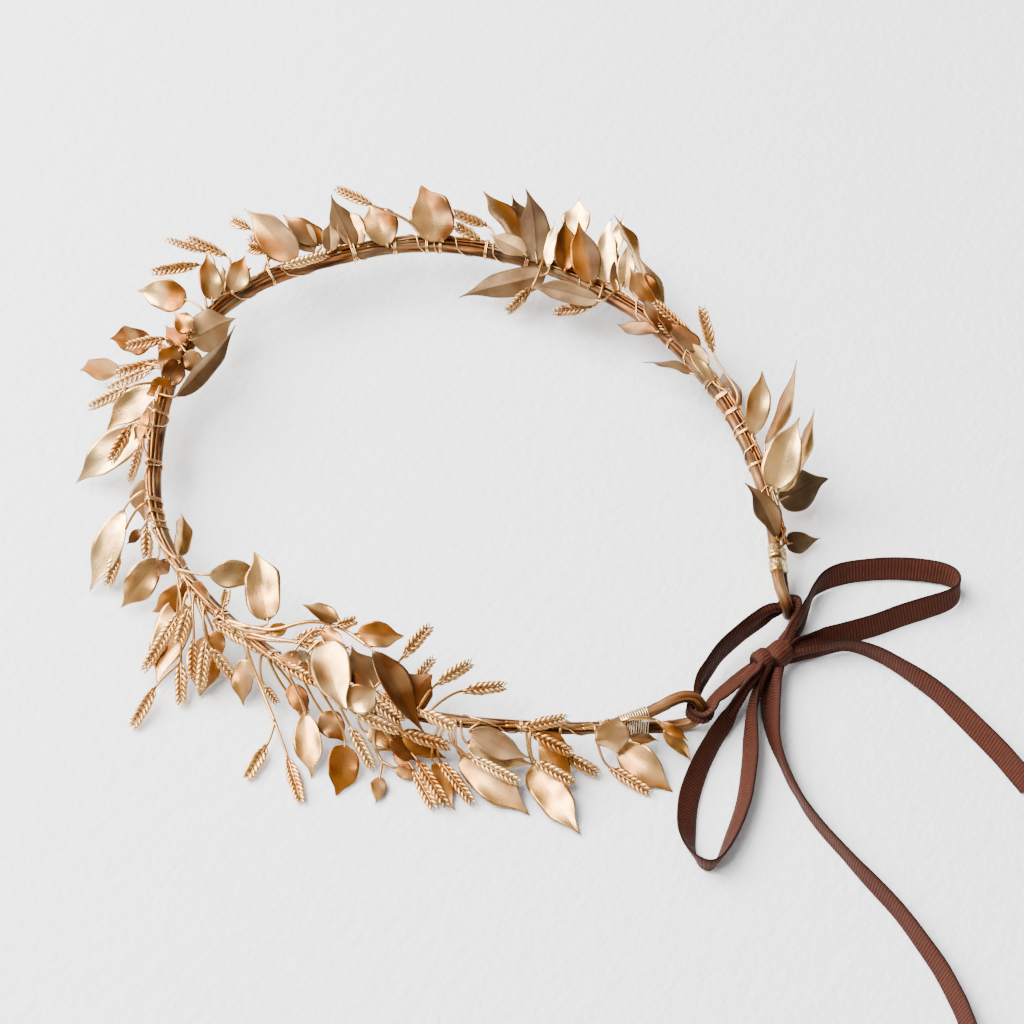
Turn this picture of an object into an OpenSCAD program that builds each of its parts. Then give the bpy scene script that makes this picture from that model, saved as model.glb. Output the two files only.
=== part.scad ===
// Leaf hair wreath: a wrapped wire band with an eye at each end, gilded leaf and ear sprays tied
// along it, and a ribbon threaded through the eyes and tied in a bow. Sizes are in millimetres.
// X runs across the head, +Y to the front of the band, Z up from the table that it lies on.
// The origin is on the table, in the middle of the opening for the head.

/* [Head band] */
// Length of the head opening, from the ribbon to the front of the band
head_length = 184; // [176:1:192]
// Thickness of the wrapped wire
band_d = 3.2; // [2.8:0.1:3.4]
// Thickness of the wire binding over the foot of each eye
collar_t = 0.8; // [0.6:0.1:1]
/* [Leaves and ears] */
// Thickness of a leaf along its midrib
leaf_t = 0.6; // [0.4:0.1:0.8]
// Leaf width, as a share of the width in the spray tables
leaf_fullness = 1; // [0.85:0.05:1.1]
// Thickness of an ear of grain, as a share of its width
ear_plumpness = 0.5; // [0.4:0.05:0.7]
// Thickness of a leaf stalk
stalk_d = 0.9; // [0.8:0.1:1.1]
// Thickness of the stem of a spray, tied along the band
stem_d = 1.6; // [1.2:0.1:1.8]
// Gap between a stem and the band
seat_gap = 0.3; // [0.2:0.1:0.4]
/* [Ribbon] */
// Width of the ribbon
ribbon_w = 6.5; // [5:0.5:7]
// Thickness of the ribbon
ribbon_t = 1; // [0.6:0.1:1.2]
/* [Hidden] */

// The tables below place things by a reference view: px and py are pixels of its 1024 by 1024
// frame, and h is the height above the table in millimetres.
// Pixels per millimetre at the middle of the wreath
view_scale = 3.6;
// Distance from the lens to the point that it looks at
view_range = 750;
// Angle of the view above the table, and its turn round the Z axis
view_rise = 50;
view_turn = -48;
// Point on the table at the middle of the frame
view_aim = [7.5, -12.5, 0];
frame_middle = 512;
// Length of the opening that the view shows
viewed_length = 184;

focal_px = view_scale * view_range;
plan_scale = head_length / viewed_length;
view_back = [sin(view_turn) * cos(view_rise), -cos(view_turn) * cos(view_rise), sin(view_rise)];
view_right = [cos(view_turn), sin(view_turn), 0];
view_up = cross(view_back, view_right);
view_eye = view_aim + view_range * view_back;
up = [0, 0, 1];

function unit(v) = v / norm(v);
function mix(a, b, f) = a + (b - a) * f;

// Place of a pixel of the view, at a height above the table
function spot(px, py, h) =
    let (ray = view_right * (px - frame_middle) / focal_px
             + view_up * (frame_middle - py) / focal_px - view_back)
    let (p = view_eye + ray * (h - view_eye[2]) / ray[2])
    [p[0] * plan_scale, p[1] * plan_scale, h];

// Smooth curve through a list of points or rows, u counting them from 0
function curve_at(rows, u) =
    let (last = len(rows) - 1)
    let (i = min(max(floor(u), 0), last - 1))
    let (f = u - i, a = rows[max(i - 1, 0)], b = rows[i], c = rows[i + 1])
    let (d = rows[min(i + 2, last)])
    (2 * b + (c - a) * f + (2 * a - 5 * b + 4 * c - d) * f * f
        + (3 * b - a - 3 * c + d) * f * f * f) / 2;

// Directions along a list of points
function tangents(pts) =
    [for (i = [0:len(pts) - 1]) unit(pts[min(i + 1, len(pts) - 1)] - pts[max(i - 1, 0)])];

// A sideways direction carried along a path without twisting
function carried(dirs, side, i = 0, out = []) =
    i == len(dirs) ? out
    : let (s = unit(side - (side * dirs[i]) * dirs[i]))
      carried(dirs, s, i + 1, concat(out, [s]));

// Faces of a skin over rings of n points each, closed by flat ends or by a point after the last
function skin_faces(rings, n, pointed = false) = concat(
    n == 4 ? [[0, 1, 2], [0, 2, 3]] : [[for (k = [0:n - 1]) k]],
    [for (i = [0:rings - 2]) for (k = [0:n - 1]) for (half = [0:1])
        let (a = i * n + k, b = i * n + (k + 1) % n)
        half == 0 ? [a, a + n, b + n] : [a, b + n, b]],
    pointed
        ? [for (k = [0:n - 1]) let (a = (rings - 1) * n) [a + k, a + n, a + (k + 1) % n]]
        : n == 4
            ? let (a = (rings - 1) * n) [[a + 2, a + 1, a], [a + 3, a + 2, a]]
            : [[for (k = [n - 1:-1:0]) (rings - 1) * n + k]]);

// Round wire along a path
module wire(path, d, sides, side) {
    dirs = tangents(path);
    sideways = carried(dirs, side);
    points = [for (i = [0:len(path) - 1]) for (k = [0:sides - 1])
        let (a = 360 * k / sides, s = sideways[i], t = cross(dirs[i], s))
        path[i] + d / 2 * (cos(a) * s + sin(a) * t)];
    polyhedron(points, skin_faces(len(path), sides), convexity = 10);
}

// Head band, from the loose end of the wire at the right eye to the one at the left eye
eye_right_route = [
    // px, py, h
    [779.5, 560, 6],
    [781, 572, 4.4],
    [782.5, 586, 2.8],
    [784.5, 600, 2.1],
    [787, 611, 2.4],
    [788.5, 614.5, 4],
    [788, 609.5, 6.4],
    [786, 602.5, 8.8],
    [782.5, 594, 10.4],
    [779.5, 584, 10.9],
    [777.5, 574, 10.5],
    [776.3, 564, 9.7]];
band_route = [
    // px, py, h
    [775.5, 553, 9.2],
    [770, 518, 10],
    [757, 474, 11],
    [739, 432, 12],
    [715, 392, 13],
    [685, 357, 14],
    [651, 325, 14.5],
    [613, 300, 15],
    [572, 279, 15],
    [528, 263, 15],
    [482, 252, 15.5],
    [436, 247, 16],
    [390, 249, 16],
    [345, 258, 16],
    [300, 270, 16],
    [258, 287, 16],
    [222, 311, 16],
    [193, 341, 16],
    [174, 377, 16],
    [163, 416, 16],
    [157, 458, 16],
    [156, 500, 15.5],
    [165, 538, 15],
    [185, 573, 14.5],
    [212, 605, 14],
    [244, 633, 13.5],
    [281, 660, 13],
    [323, 684, 12.5],
    [369, 703, 12],
    [418, 715, 11.5],
    [467, 722, 11],
    [516, 726, 10],
    [565, 728, 9],
    [604, 727, 8.5]];
eye_left_route = [
    // px, py, h
    [626, 720, 8.7],
    [648, 712.5, 9.5],
    [660, 707, 10],
    [672, 700.5, 10.6],
    [684, 696.5, 11],
    [694, 698, 10.3],
    [700, 704.5, 8.4],
    [701.5, 711, 6],
    [698, 717.5, 4],
    [690, 722.5, 2.4],
    [678, 725, 2.1],
    [664, 727, 2.9],
    [650, 727.5, 4.3],
    [636, 728.5, 5.4],
    [627, 729, 6]];
band_points = [for (r = concat(eye_right_route, band_route, eye_left_route))
    spot(r[0], r[1], r[2])];
band_start = len(eye_right_route);
band_sides = 8;
// Steps between two points of the route, on the band and round an eye
band_steps = 1;
eye_steps = 2;

// Middle of the band, u counting the points of band_route from 0
function band_at(u) = curve_at(band_points, band_start + u);
function band_heading(u) = unit(band_at(u + 0.1) - band_at(u - 0.1));
// Point at a distance from the middle of the band, lie being 0 outwards and 90 on top
function beside_band(u, lie, distance) =
    let (out = unit(cross(band_heading(u), up)))
    band_at(u) + distance * (cos(lie) * out + sin(lie) * up);

module head_band() {
    band_end = band_start + len(band_route) - 1;
    last = len(band_points) - 1;
    stations = concat(
        [for (i = [0:band_start * eye_steps - 1]) i / eye_steps],
        [for (i = [0:(band_end - band_start) * band_steps - 1]) band_start + i / band_steps],
        [for (i = [0:(last - band_end) * eye_steps]) band_end + i / eye_steps]);
    color("saddlebrown")
    wire([for (u = stations) curve_at(band_points, u)], band_d, band_sides, view_right);
}

// Collar of binding wire round the two legs at the foot of an eye
collar_gap = 0.3;
module leg_pair(ends, d, extra) {
    hull() {
        for (leg = [0:1]) {
            a = ends[leg][0];
            b = ends[leg][1];
            along = unit(b - a);
            reach = norm(b - a) + 2 * extra;
            translate(a - along * extra)
            rotate([0, acos(along[2]), atan2(along[1], along[0])])
            cylinder(h = reach, d = d, $fn = 16);
        }
    }
}
module collar(ends) {
    inside = band_d + 2 * collar_gap;
    color("gold")
    difference() {
        leg_pair(ends, inside + 2 * collar_t, 0);
        leg_pair(ends, inside, 2);
    }
}
// Ends of the two legs inside each collar
collar_right_legs = [[curve_at(band_points, 10.2), curve_at(band_points, 12.25)],
    [curve_at(band_points, 1.1), spot(778.3, 550, 7.4)]];
module collar_right() { collar(collar_right_legs); }
collar_left_legs = [[band_at(33.65), band_at(34.95)],
    [spot(618, 729.5, 6.6), curve_at(band_points, len(band_points) - 2.7)]];
module collar_left() { collar(collar_left_legs); }

// Rod along a list of points: pieces that share the ring where they meet
module rod(pts, d, sides) {
    dirs = tangents(pts);
    side = carried(dirs, abs(dirs[0] * up) > 0.9 ? view_right : up);
    rings = [for (i = [0:len(pts) - 1]) [for (k = [0:sides - 1])
        let (a = 360 * k / sides, s = side[i], t = cross(dirs[i], s))
        pts[i] + d / 2 * (cos(a) * s + sin(a) * t)]];
    for (i = [0:len(pts) - 2]) {
        hull() polyhedron(concat(rings[i], rings[i + 1]), skin_faces(2, sides));
    }
}

// Leaf and ear rows: where the stalk starts (a place u on the stem of the spray, or a point of
// its own), base and tip as px, py and h, then the width, the turn of the face away from the
// view (180 shows the underside), the fold along the midrib, the arch and the twist
FROM = 0;
BASE = 1;
TIP = 4;
WIDE = 7;
TURN = 8;
FOLD = 9;
ARCH = 10;
TWIST = 11;
function base_of(r) = spot(r[BASE], r[BASE + 1], r[BASE + 2]);
function tip_of(r) = spot(r[TIP], r[TIP + 1], r[TIP + 2]);

// Outline of a leaf and of an ear: place along the midrib and share of the width
leaf_outline = [[0, 0.14], [0.18, 0.74], [0.44, 1], [0.75, 0.6]];
ear_outline = [[0, 0.34], [0.22, 0.95], [0.74, 0.75]];

// Four points round c, ridges along n and edges along s, the edges raised towards n
function diamond(c, n, s, ridge, edge, rise = 0) =
    [c + n * ridge, c + s * edge + n * rise, c - n * ridge, c - s * edge + n * rise];

// Rings of a stalk along a curve that ends at a leaf with the face direction n0
function stalk_rings(curve, n0) =
    let (last = len(curve) - 1, dirs = tangents(curve))
    let (faces = carried([for (i = [last:-1:0]) dirs[i]], n0))
    [for (i = [0:last - 1])
        let (n = faces[last - i], r = stalk_d / 2)
        diamond(curve[i], n, cross(dirs[i], n), r, r)];

// Rings of a leaf or ear
function blade_rings(base, tip, face0, outline, w, thick, turn, fold, arch, twist) =
    let (long = norm(tip - base), axis = unit(tip - base), side0 = cross(axis, face0))
    [for (o = outline)
        let (a = turn + twist * (o[0] - 0.5))
        let (n = cos(a) * face0 + sin(a) * side0)
        let (c = base + axis * long * o[0] + n * arch * long * 4 * o[0] * (1 - o[0]))
        diamond(c, n, cross(axis, n), thick / 2 * (0.6 + 0.4 * o[1]),
            w / 2 * o[1] * cos(fold), w / 2 * o[1] * sin(fold))];

// Stem of a spray along the band, lie giving its side of it
function stem_at(u, lie) = beside_band(u, lie, band_d / 2 + seat_gap + stem_d / 2);
stem_pieces = 8;
stem_sides = 4;
module stem(u0, u1, lie) {
    rod([for (i = [0:stem_pieces]) stem_at(mix(u0, u1, i / stem_pieces), lie)],
        stem_d, stem_sides);
}

// Curve of a stalk from the stem, or from a point of its own, to the base of its leaf
function stalk_curve(r, lie, base, axis) =
    let (own = is_list(r[FROM]))
    let (start = own ? spot(r[FROM][0], r[FROM][1], r[FROM][2]) : stem_at(r[FROM], lie))
    let (far = norm(base - start))
    let (lift = own ? unit(base - start) : unit(start - band_at(r[FROM])))
    let (a = start + lift * far * (own ? 0.2 : 0.3), b = base - axis * far * 0.3)
    let (count = far < 6 ? 1 : far < 14 ? 2 : 3)
    [for (i = [0:count])
        let (f = i / count, g = 1 - f)
        g * g * g * start + 3 * g * g * f * a + 3 * g * f * f * b + f * f * f * base];

// Leaf or ear with its stalk, as one skin
module sprig(r, lie, outline, w, thick, turn, fold, arch, twist) {
    base = base_of(r);
    tip = tip_of(r);
    axis = unit(tip - base);
    look = unit(view_eye - (base + tip) / 2);
    face0 = unit(look - (look * axis) * axis);
    blade = blade_rings(base, tip, face0, outline, w, thick, turn, fold, arch, twist);
    n0 = unit((blade[0][0] - blade[0][2]));
    rings = concat(stalk_rings(stalk_curve(r, lie, base, axis), n0), blade);
    points = concat([for (g = rings) for (p = g) p], [tip]);
    polyhedron(points, skin_faces(len(rings), 4, true), convexity = 6);
}

module leaf(r, lie) {
    sprig(r, lie, leaf_outline, r[WIDE] * leaf_fullness, leaf_t,
        r[TURN], r[FOLD], r[ARCH], r[TWIST]);
}
ear_w = 2.8;
module ear(r, lie) {
    w = len(r) > WIDE ? r[WIDE] : ear_w;
    sprig(r, lie, ear_outline, w, w * ear_plumpness, 0, 0, 0.03, 0);
}

// Long thin stem that leaves the stem of the spray and goes through points of its own
module branch(u, lie, pts) {
    route = concat([stem_at(u, lie)], [for (p = pts) spot(p[0], p[1], p[2])]);
    wire(route, stalk_d * 1.1, stem_sides, up);
}

module spray(u0, u1, lie, leaves, ears, branches = []) {
    color("goldenrod") {
        stem(u0, u1, lie);
        for (b = branches) {
            branch(b[0], lie, b[1]);
        }
        for (r = leaves) {
            leaf(r, lie);
        }
        for (r = ears) {
            ear(r, lie);
        }
    }
}

// Right end, beside the collar
module spray_01() {
    spray(0.35, 0.95, 20, [
        [0.5, 786, 544, 6, 820, 538, 3, 6, 180, 12, 0.04, 0],
        [0.7, 777, 538, 14, 745, 483, 20, 8.5, 35, 18, 0.05, 10]], []);
}
module spray_02() {
    spray(1.05, 2.15, 31, [
        [1.25, 779, 500, 10, 830, 478, 8, 10, 180, 12, 0.05, 0],
        [1.42, 779, 491, 12, 811, 408, 21, 9, 60, 30, 0.04, 0],
        [1.66, 771, 489, 16, 800, 418, 25, 9.5, 0, 18, 0.06, 0],
        [1.96, 765, 444, 15, 796, 360, 26, 8, 60, 28, 0.05, 0]], []);
}
module spray_03() {
    spray(2.3, 3.85, 40, [
        [2.5, 752, 436, 14.5, 762, 371, 23, 7, 10, 20, 0.05, 0],
        [2.9, 738, 412, 9, 724, 369, 0.4, 6, 0, 12, 0.03, 0],
        [3.7, 714, 383, 16, 687, 349, 20, 3.2, 20, 15, 0.05, 0]], [
        [3.5, 713, 352, 20, 701, 306, 28]]);
}
module spray_04() {
    spray(4, 5.85, 55, [
        [4.4, 692, 374, 17.5, 643, 361, 14.5, 6, 70, 20, 0.04, 0]], [
        [4.6, 697, 343, 17, 655, 302, 22],
        [4.9, 690, 348, 17, 660, 322, 19]]);
}
module spray_05() {
    spray(6, 7.55, 57, [
        [6.1, 662, 308, 18, 633, 252, 26, 7, 60, 25, 0.05, 0],
        [6.2, 655, 302, 21, 631, 266, 25, 5, 20, 20, 0.05, 0],
        [6.5, 642, 276, 20, 613, 215, 31, 7, 62, 25, 0.04, 0],
        [6.8, 617, 292, 17.5, 613, 250, 21.5, 3.6, 10, 20, 0.05, 0],
        [6.05, 657, 332, 17, 617, 324, 13, 4.6, 20, 15, 0.03, 0],
        [7, 600, 301, 18, 529, 289, 12.5, 6.4, 10, 15, 0.04, 0],
        [7.15, 604, 286, 18.5, 611, 215, 29, 7, 10, 22, 0.04, 0],
        [7.5, 592, 284, 18.5, 580, 221, 28, 9, -10, 24, 0.05, 0]], [
        [7.35, 592, 307, 16, 553, 312, 11]]);
}
module spray_06() {
    spray(7.75, 8.95, 55, [
        [8.1, 574, 240, 20, 580, 200, 25, 7.8, 0, 20, 0.05, 0],
        [8.3, 565, 271, 18.5, 566, 218, 26, 6, 15, 22, 0.05, 0],
        [8.85, 537, 262, 18.5, 525, 188, 30, 10, 168, 18, 0.05, 0],
        [8.6, 546, 274, 17.5, 457, 298, 6, 9, 180, 20, 0.04, 0]], [
        [8.72, 531, 288, 16, 507, 312, 8]]);
}
module spray_07() {
    spray(9.1, 10.55, 50, [
        [9.34, 526, 255, 20.8, 489, 233, 22.5, 6, 20, 18, 0.05, 0],
        [9.2, 528, 240, 17, 511, 195, 22, 6.4, 45, 25, 0.04, 0],
        [9.5, 519, 246, 18, 484, 190, 27, 9, 50, 25, 0.05, 0]], [
        [9.75, 487, 226, 20, 452, 212, 24],
        [9.94, 480, 240, 18.5, 455, 225, 21]]);
}
module spray_08() {
    spray(10.7, 11.85, 45, [
        [10.85, 443, 241, 19, 419, 185, 29, 12.4, 8, 20, 0.05, 0],
        [11.15, 432, 232, 19, 409, 207, 21, 5, 0, 15, 0.04, 0]], [
        [[390, 212.5, 26], 372, 205, 27.8, 335, 188, 30]], [
        [11.35, [[420, 233, 20.4], [406, 220, 24], [384.6, 209.9, 27]]]]);
}
module spray_09() {
    spray(12, 13.4, 45, [
        [12.2, 388, 246, 18.5, 369, 202, 24, 9.4, 0, 24, 0.05, 0],
        [12.8, 350, 248, 18.5, 329, 194, 28, 7.8, 175, 20, 0.05, 0],
        [13.2, 330, 252, 18.5, 330, 222, 23, 4.8, 10, 20, 0.05, 0]], []);
}
module spray_10() {
    spray(13.5, 14.85, 45, [
        [13.6, 321, 246, 19.5, 283, 214, 24, 8, 30, 20, 0.05, 0],
        [14.1, 297, 260, 19, 244, 209, 27, 9.5, -5, 24, 0.05, 0]], [
        [14.6, 250, 229, 21, 232, 220, 22],
        [14.2, 286, 252, 17.5, 248, 238, 18],
        [14.75, 270, 251, 19, 249, 248, 20]]);
}
module spray_11() {
    spray(15, 16.4, 48, [
        [15.1, 232, 292, 19.5, 245, 256, 25, 6, 0, 20, 0.05, 0],
        [15.5, 224, 297, 18, 222, 265, 22, 4, 175, 15, 0.04, 0],
        [16.1, 212, 300, 20, 207, 254, 27, 5.4, 10, 20, 0.04, 0],
        [16.35, 187, 300, 19.5, 135, 291, 19, 8.4, 0, 22, 0.06, 0]], [
        [15.7, 226, 256, 19.5, 187, 238, 22.5],
        [15.9, 205, 252, 21, 165, 239, 24, 2.2],
        [16.25, 199, 265, 20, 151, 272, 20]]);
}
module spray_12() {
    spray(16.55, 18.15, 50, [
        [16.7, 192, 331, 22, 174, 313, 24.5, 6, 0, 18, 0.05, 0],
        [16.9, 191, 340, 19.5, 236, 318, 20, 12, 180, 14, 0.06, 0],
        [17.1, 185, 345, 19.5, 166, 326, 21, 4.8, 0, 15, 0.05, 0],
        [17.25, 186, 352, 19.8, 203, 370, 16, 4, 20, 15, 0.04, 0],
        [17.6, 152, 342, 18, 110, 338, 14.5, 7.2, 0, 20, 0.05, 0],
        [17.7, 165, 358, 17.5, 162, 341, 16, 2.8, 0, 10, 0.04, 0],
        [18, 117, 366, 12.5, 80, 370, 5.5, 6, 0, 18, 0.05, 0]], [
        [17.4, 165, 339, 20.5, 127, 346, 18.5],
        [17.85, 163, 360, 18.5, 114, 375, 15]]);
}
module spray_13() {
    spray(18.35, 20.35, 48, [
        [18.6, 176, 396, 19.5, 234, 325, 20, 6.8, 40, 22, 0.04, 0],
        [18.75, 160, 386, 18, 107, 432, 8, 7.6, 0, 22, 0.05, 0],
        [19.05, 148, 408, 18.5, 140, 447, 14, 3, 20, 15, 0.04, 0],
        [19.7, 141, 430, 14, 74, 484, 2.5, 9.2, 0, 22, 0.05, 0],
        [19.2, 151, 418, 16, 153, 458, 10, 4.8, 175, 15, 0.04, 0]], [
        [18.4, 128, 388, 20.5, 88, 408, 16],
        [19.45, 131, 425, 19, 110, 463, 12]]);
}
module spray_14() {
    spray(20.5, 22.55, 50, [
        [20.6, 142, 478, 13.2, 141.5, 522, 6, 5.6, 10, 22, 0.05, 0],
        [20.9, 124, 510, 15, 91, 592, 0.4, 6.6, 20, 20, 0.05, 0],
        [21.6, 141, 530, 12, 127, 544, 9, 3, 0, 15, 0.04, 0],
        [22, 178, 556, 19.8, 182, 512, 20.8, 6.5, 40, 30, 0.04, 0],
        [22.2, 158, 560, 12, 121, 608, 2, 8, 0, 20, 0.05, 0],
        [22.4, 167, 559, 15.4, 157, 577, 10.5, 4, 0, 15, 0.04, 0]], [
        [21.2, 119, 547, 9, 108, 586, 3],
        [21.35, 147, 527, 13, 147, 558, 7]]);
}
module spray_15() {
    spray(22.75, 24.25, 50, [
        [23.35, 188, 588, 15.5, 152, 613, 8, 4.6, 0, 18, 0.05, 0],
        [23.2, 183, 600, 11, 158, 690, 0.4, 8, 10, 22, 0.05, 0],
        [23.65, 206, 636, 9, 199, 697, 0.4, 9, -10, 22, 0.05, 0],
        [23.9, 213, 630, 13, 222, 658, 8, 3.4, 0, 15, 0.04, 0],
        [22.95, 209, 575, 19, 264, 573, 18, 5.6, 20, 30, 0.04, 0],
        [22.85, 193, 582, 16.8, 213, 602, 16, 4, 20, 15, 0.03, 0]], [
        [23.05, 179, 614, 13.5, 143, 672, 4.5],
        [23.45, 190, 608, 16.4, 178, 645, 11.5],
        [23.55, 181, 661, 6.5, 181, 705, 1.6],
        [[181, 661, 6.5], 155, 688, 4.4, 132, 728, 1.3],
        [23.8, 207, 640, 12, 200, 690, 5],
        [24.05, 211, 648, 11, 237, 682, 3]]);
}
module spray_16() {
    spray(24.4, 25.85, 55, [
        [24.8, 268, 620, 18, 253, 553, 25, 9.8, 0, 16, 0.05, 0],
        [25.1, 247, 660, 9, 244, 706, 0.8, 5.6, 20, 22, 0.05, 0],
        [[340, 628, 19], 340, 621, 20, 302, 605, 22, 5, 30, 25, 0.05, 40],
        [[352, 635, 19.5], 357, 634, 19.5, 404, 636, 18, 6, 0, 20, 0.05, 0],
        [[366, 645, 20.5], 373, 651, 21, 427, 735, 13, 8.5, -30, 22, 0.04, 0]], [
        [24.5, 223, 609, 17.5, 227, 590, 20, 2.2],
        [[330, 625, 19], 335, 627, 20.5, 356, 620, 21.5, 2.4],
        [[318, 643, 18], 322, 643, 18.2, 350, 651, 17],
        [[275, 722, 3.6], 288, 758, 1.8, 301, 802, 1.3],
        [[275, 722, 3.6], 267, 745, 2.2, 246, 779, 1.3],
        [25.7, 264, 685, 8, 278, 704, 5, 2.2],
        [25.8, 286, 690, 8, 306, 714, 4]], [
        [24.6, [[268, 630, 18], [300, 623, 19.5], [320, 622, 19.5], [340, 628, 19],
            [352, 635, 19.5], [366, 645, 20.5]]],
        [24.9, [[262, 637, 17.5], [290, 641, 18], [318, 643, 18]]],
        [25.2, [[249, 655, 11], [262, 690, 6], [275, 722, 3.6]]]]);
}
module spray_17() {
    spray(26, 27.55, 60, [
        [26.5, 322, 645, 20, 347, 711, 17.5, 9.2, 0, 16, 0.05, 0],
        [26.3, 322, 630, 21.5, 345, 645, 21, 4, 180, 15, 0.03, 0],
        [27.1, 349, 707, 15.5, 378, 685, 18.5, 6.6, 0, 18, 0.04, 0],
        [26.2, 305, 714, 7, 311, 778, 0.5, 7.9, 10, 22, 0.05, 0],
        [26.6, 322, 712, 8, 343, 742, 3, 4, 0, 15, 0.04, 0],
        [26.9, 345, 745, 5, 336, 796, 0.4, 8.7, 10, 20, 0.05, 0],
        [26.7, 312, 666, 16.5, 276, 657, 17.5, 3.6, 0, 15, 0.04, 0],
        [26.8, 308, 662, 18.6, 298, 649, 20.5, 3, 175, 12, 0.04, 0]], [
        [27.5, 356, 714, 14, 400, 731, 10.5],
        [27.3, 350, 726, 8, 373, 768, 2]]);
}
module spray_18() {
    spray(27.75, 29.35, 60, [
        [27.95, 372, 682, 16, 350, 648, 20.5, 7.2, 175, 18, 0.05, 0],
        [28.8, 406, 703, 16, 432, 673, 19, 7.4, 180, 18, 0.05, 0],
        [27.8, 366, 734, 7, 416, 743, 4, 5.3, 0, 20, 0.05, 0],
        [[382, 762, 2.4], 380, 777, 1.6, 375, 805, 0.5, 4.2, 0, 15, 0.05, 0],
        [[382, 762, 2.4], 395, 768, 2.4, 420, 778, 0.8, 4, 0, 15, 0.05, 0],
        [[376, 750, 4], 394, 752, 3.4, 412, 770, 2.6, 3, 0, 15, 0.04, 0],
        [28.4, 400, 730, 9, 446, 757, 3, 4.4, 20, 18, 0.05, 0]], [
        [28, 402, 658, 19, 431, 625, 21],
        [28.6, 413, 684, 15, 434, 657, 15.5, 2.4],
        [29, 437, 684, 16.5, 472, 662, 17],
        [29.2, 462, 691, 15, 506, 686, 15],
        [29.25, 431, 716, 15.8, 454, 728, 15],
        [[400, 752, 3.6], 414, 770, 3, 434, 808, 1.5],
        [[401, 742, 5.6], 425, 775, 4.4, 446, 806, 2.8]], [
        [28.2, [[373, 735, 8], [376, 750, 4], [382, 762, 2.4]]],
        [28.5, [[402, 732, 8.5], [400, 752, 3.6]]]]);
}
module spray_19() {
    spray(29.5, 30.75, 60, [
        [29.9, 468, 745, 8.5, 535, 762, 5.4, 6.6, 30, 28, 0.04, 0],
        [30.3, 472, 733, 12.5, 530, 757, 9.5, 6.6, -20, 15, 0.03, 0],
        [29.55, 432, 765, 3.6, 455, 810, 0.4, 4.4, 10, 15, 0.05, 0],
        [29.8, 462, 757, 5, 529, 814, 0.4, 7.6, 0, 20, 0.05, 0],
        [[468, 757, 5], 490, 768, 4.6, 516, 784, 3, 3, 0, 15, 0.04, 0]], [
        [29.65, 440, 761, 4, 473, 803, 1.8],
        [[465, 755, 6.2], 472, 759, 7.2, 505, 780, 6.4]], [
        [29.7, [[450, 728, 12.2], [453, 743, 8], [468, 757, 5.5]]]]);
}
module spray_20() {
    spray(30.9, 32.3, 60, [
        [31.2, 532, 765, 4.4, 580, 835, 0.4, 8.4, 10, 20, 0.05, 0],
        [31.6, 538, 742, 8, 575, 783, 1.6, 4.8, 0, 18, 0.05, 0],
        [31.4, 536, 734, 11.5, 572, 747, 8, 4.4, 0, 18, 0.04, 0]], [
        [31, 522, 728, 13.4, 568, 718, 13],
        [31.3, 538, 766, 7.8, 570, 782, 5.6],
        [31.9, 563, 754, 6, 599, 774, 2]]);
}
module spray_21() {
    spray(32.5, 33.4, 60, [
        [32.9, 608, 721, 13.5, 617, 753, 6, 8.6, 0, 18, 0.05, 0],
        [33, 617, 750, 4.6, 673, 792, 0.4, 7.8, 0, 20, 0.05, 0],
        [33.1, 630, 737, 8.6, 658, 741, 5, 2.8, 0, 12, 0.04, 0],
        [[655, 720, 10.5], 665, 728, 8, 691, 762, 0.8, 4, 10, 18, 0.05, 0],
        [[655, 720, 10.5], 660, 722, 10.5, 688, 741, 8, 3, 0, 12, 0.04, 0]], [
        [32.7, 609, 767, 2, 650, 793, 1.3]], [
        [33.3, [[628, 719, 12.5], [642, 718, 12], [655, 720, 10.5]]]]);
}

// Ribbon along a route: px, py, h, lean (0 lying flat, 90 standing on edge) and share of width
LEAN = 3;
SHARE = 4;
module ribbon(rows, steps) {
    count = (len(rows) - 1) * steps;
    stations = [for (i = [0:count]) curve_at(rows, i / steps)];
    path = [for (r = stations) spot(r[0], r[1], r[2])];
    dirs = tangents(path);
    points = [for (i = [0:count])
        let (flat = unit(cross(up, dirs[i])), lean = stations[i][LEAN])
        let (s = cos(lean) * flat + sin(lean) * cross(dirs[i], flat), m = cross(dirs[i], s))
        for (c = [[-1, -1], [1, -1], [1, 1], [-1, 1]])
            path[i] + c[0] * ribbon_w / 2 * stations[i][SHARE] * s + c[1] * ribbon_t / 2 * m];
    color("sienna")
    polyhedron(points, skin_faces(count + 1, 4), convexity = 10);
}

// From the knot through the left eye, across to the right eye, through it and back to the knot
module ribbon_tie() {
    ribbon([
        [753, 666.5, 6, 66, 0.6],
        [742, 676, 6.6, 68, 0.9],
        [733, 684, 6.9, 68, 1],
        [722, 693.5, 7.4, 68, 1],
        [714, 703.5, 8, 70, 0.95],
        [714, 714, 8.6, 78, 0.76],
        [704.5, 721, 8.3, 88, 0.58],
        [690.5, 713.5, 6.8, 90, 0.52],
        [690.5, 706.5, 6.3, 90, 0.55],
        [696, 699, 6.2, 88, 0.6],
        [697.5, 690, 6.2, 82, 0.8],
        [701, 680, 6, 76, 0.95],
        [708, 669, 5.8, 75, 1],
        [721, 651, 5.6, 75, 1],
        [740, 633.5, 5.6, 75, 1],
        [760, 618.5, 5.8, 76, 0.95],
        [770, 612, 6, 82, 0.75],
        [778.5, 609, 5.3, 90, 0.5],
        [786.5, 602, 6, 90, 0.44],
        [796, 602.5, 5.8, 90, 0.6],
        [798, 609, 5.4, 90, 0.62],
        [794.5, 619.5, 4.8, 90, 0.68],
        [788, 632, 4.6, 88, 0.7],
        [780.5, 642.5, 4.8, 85, 0.65]], 2);
}
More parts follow.
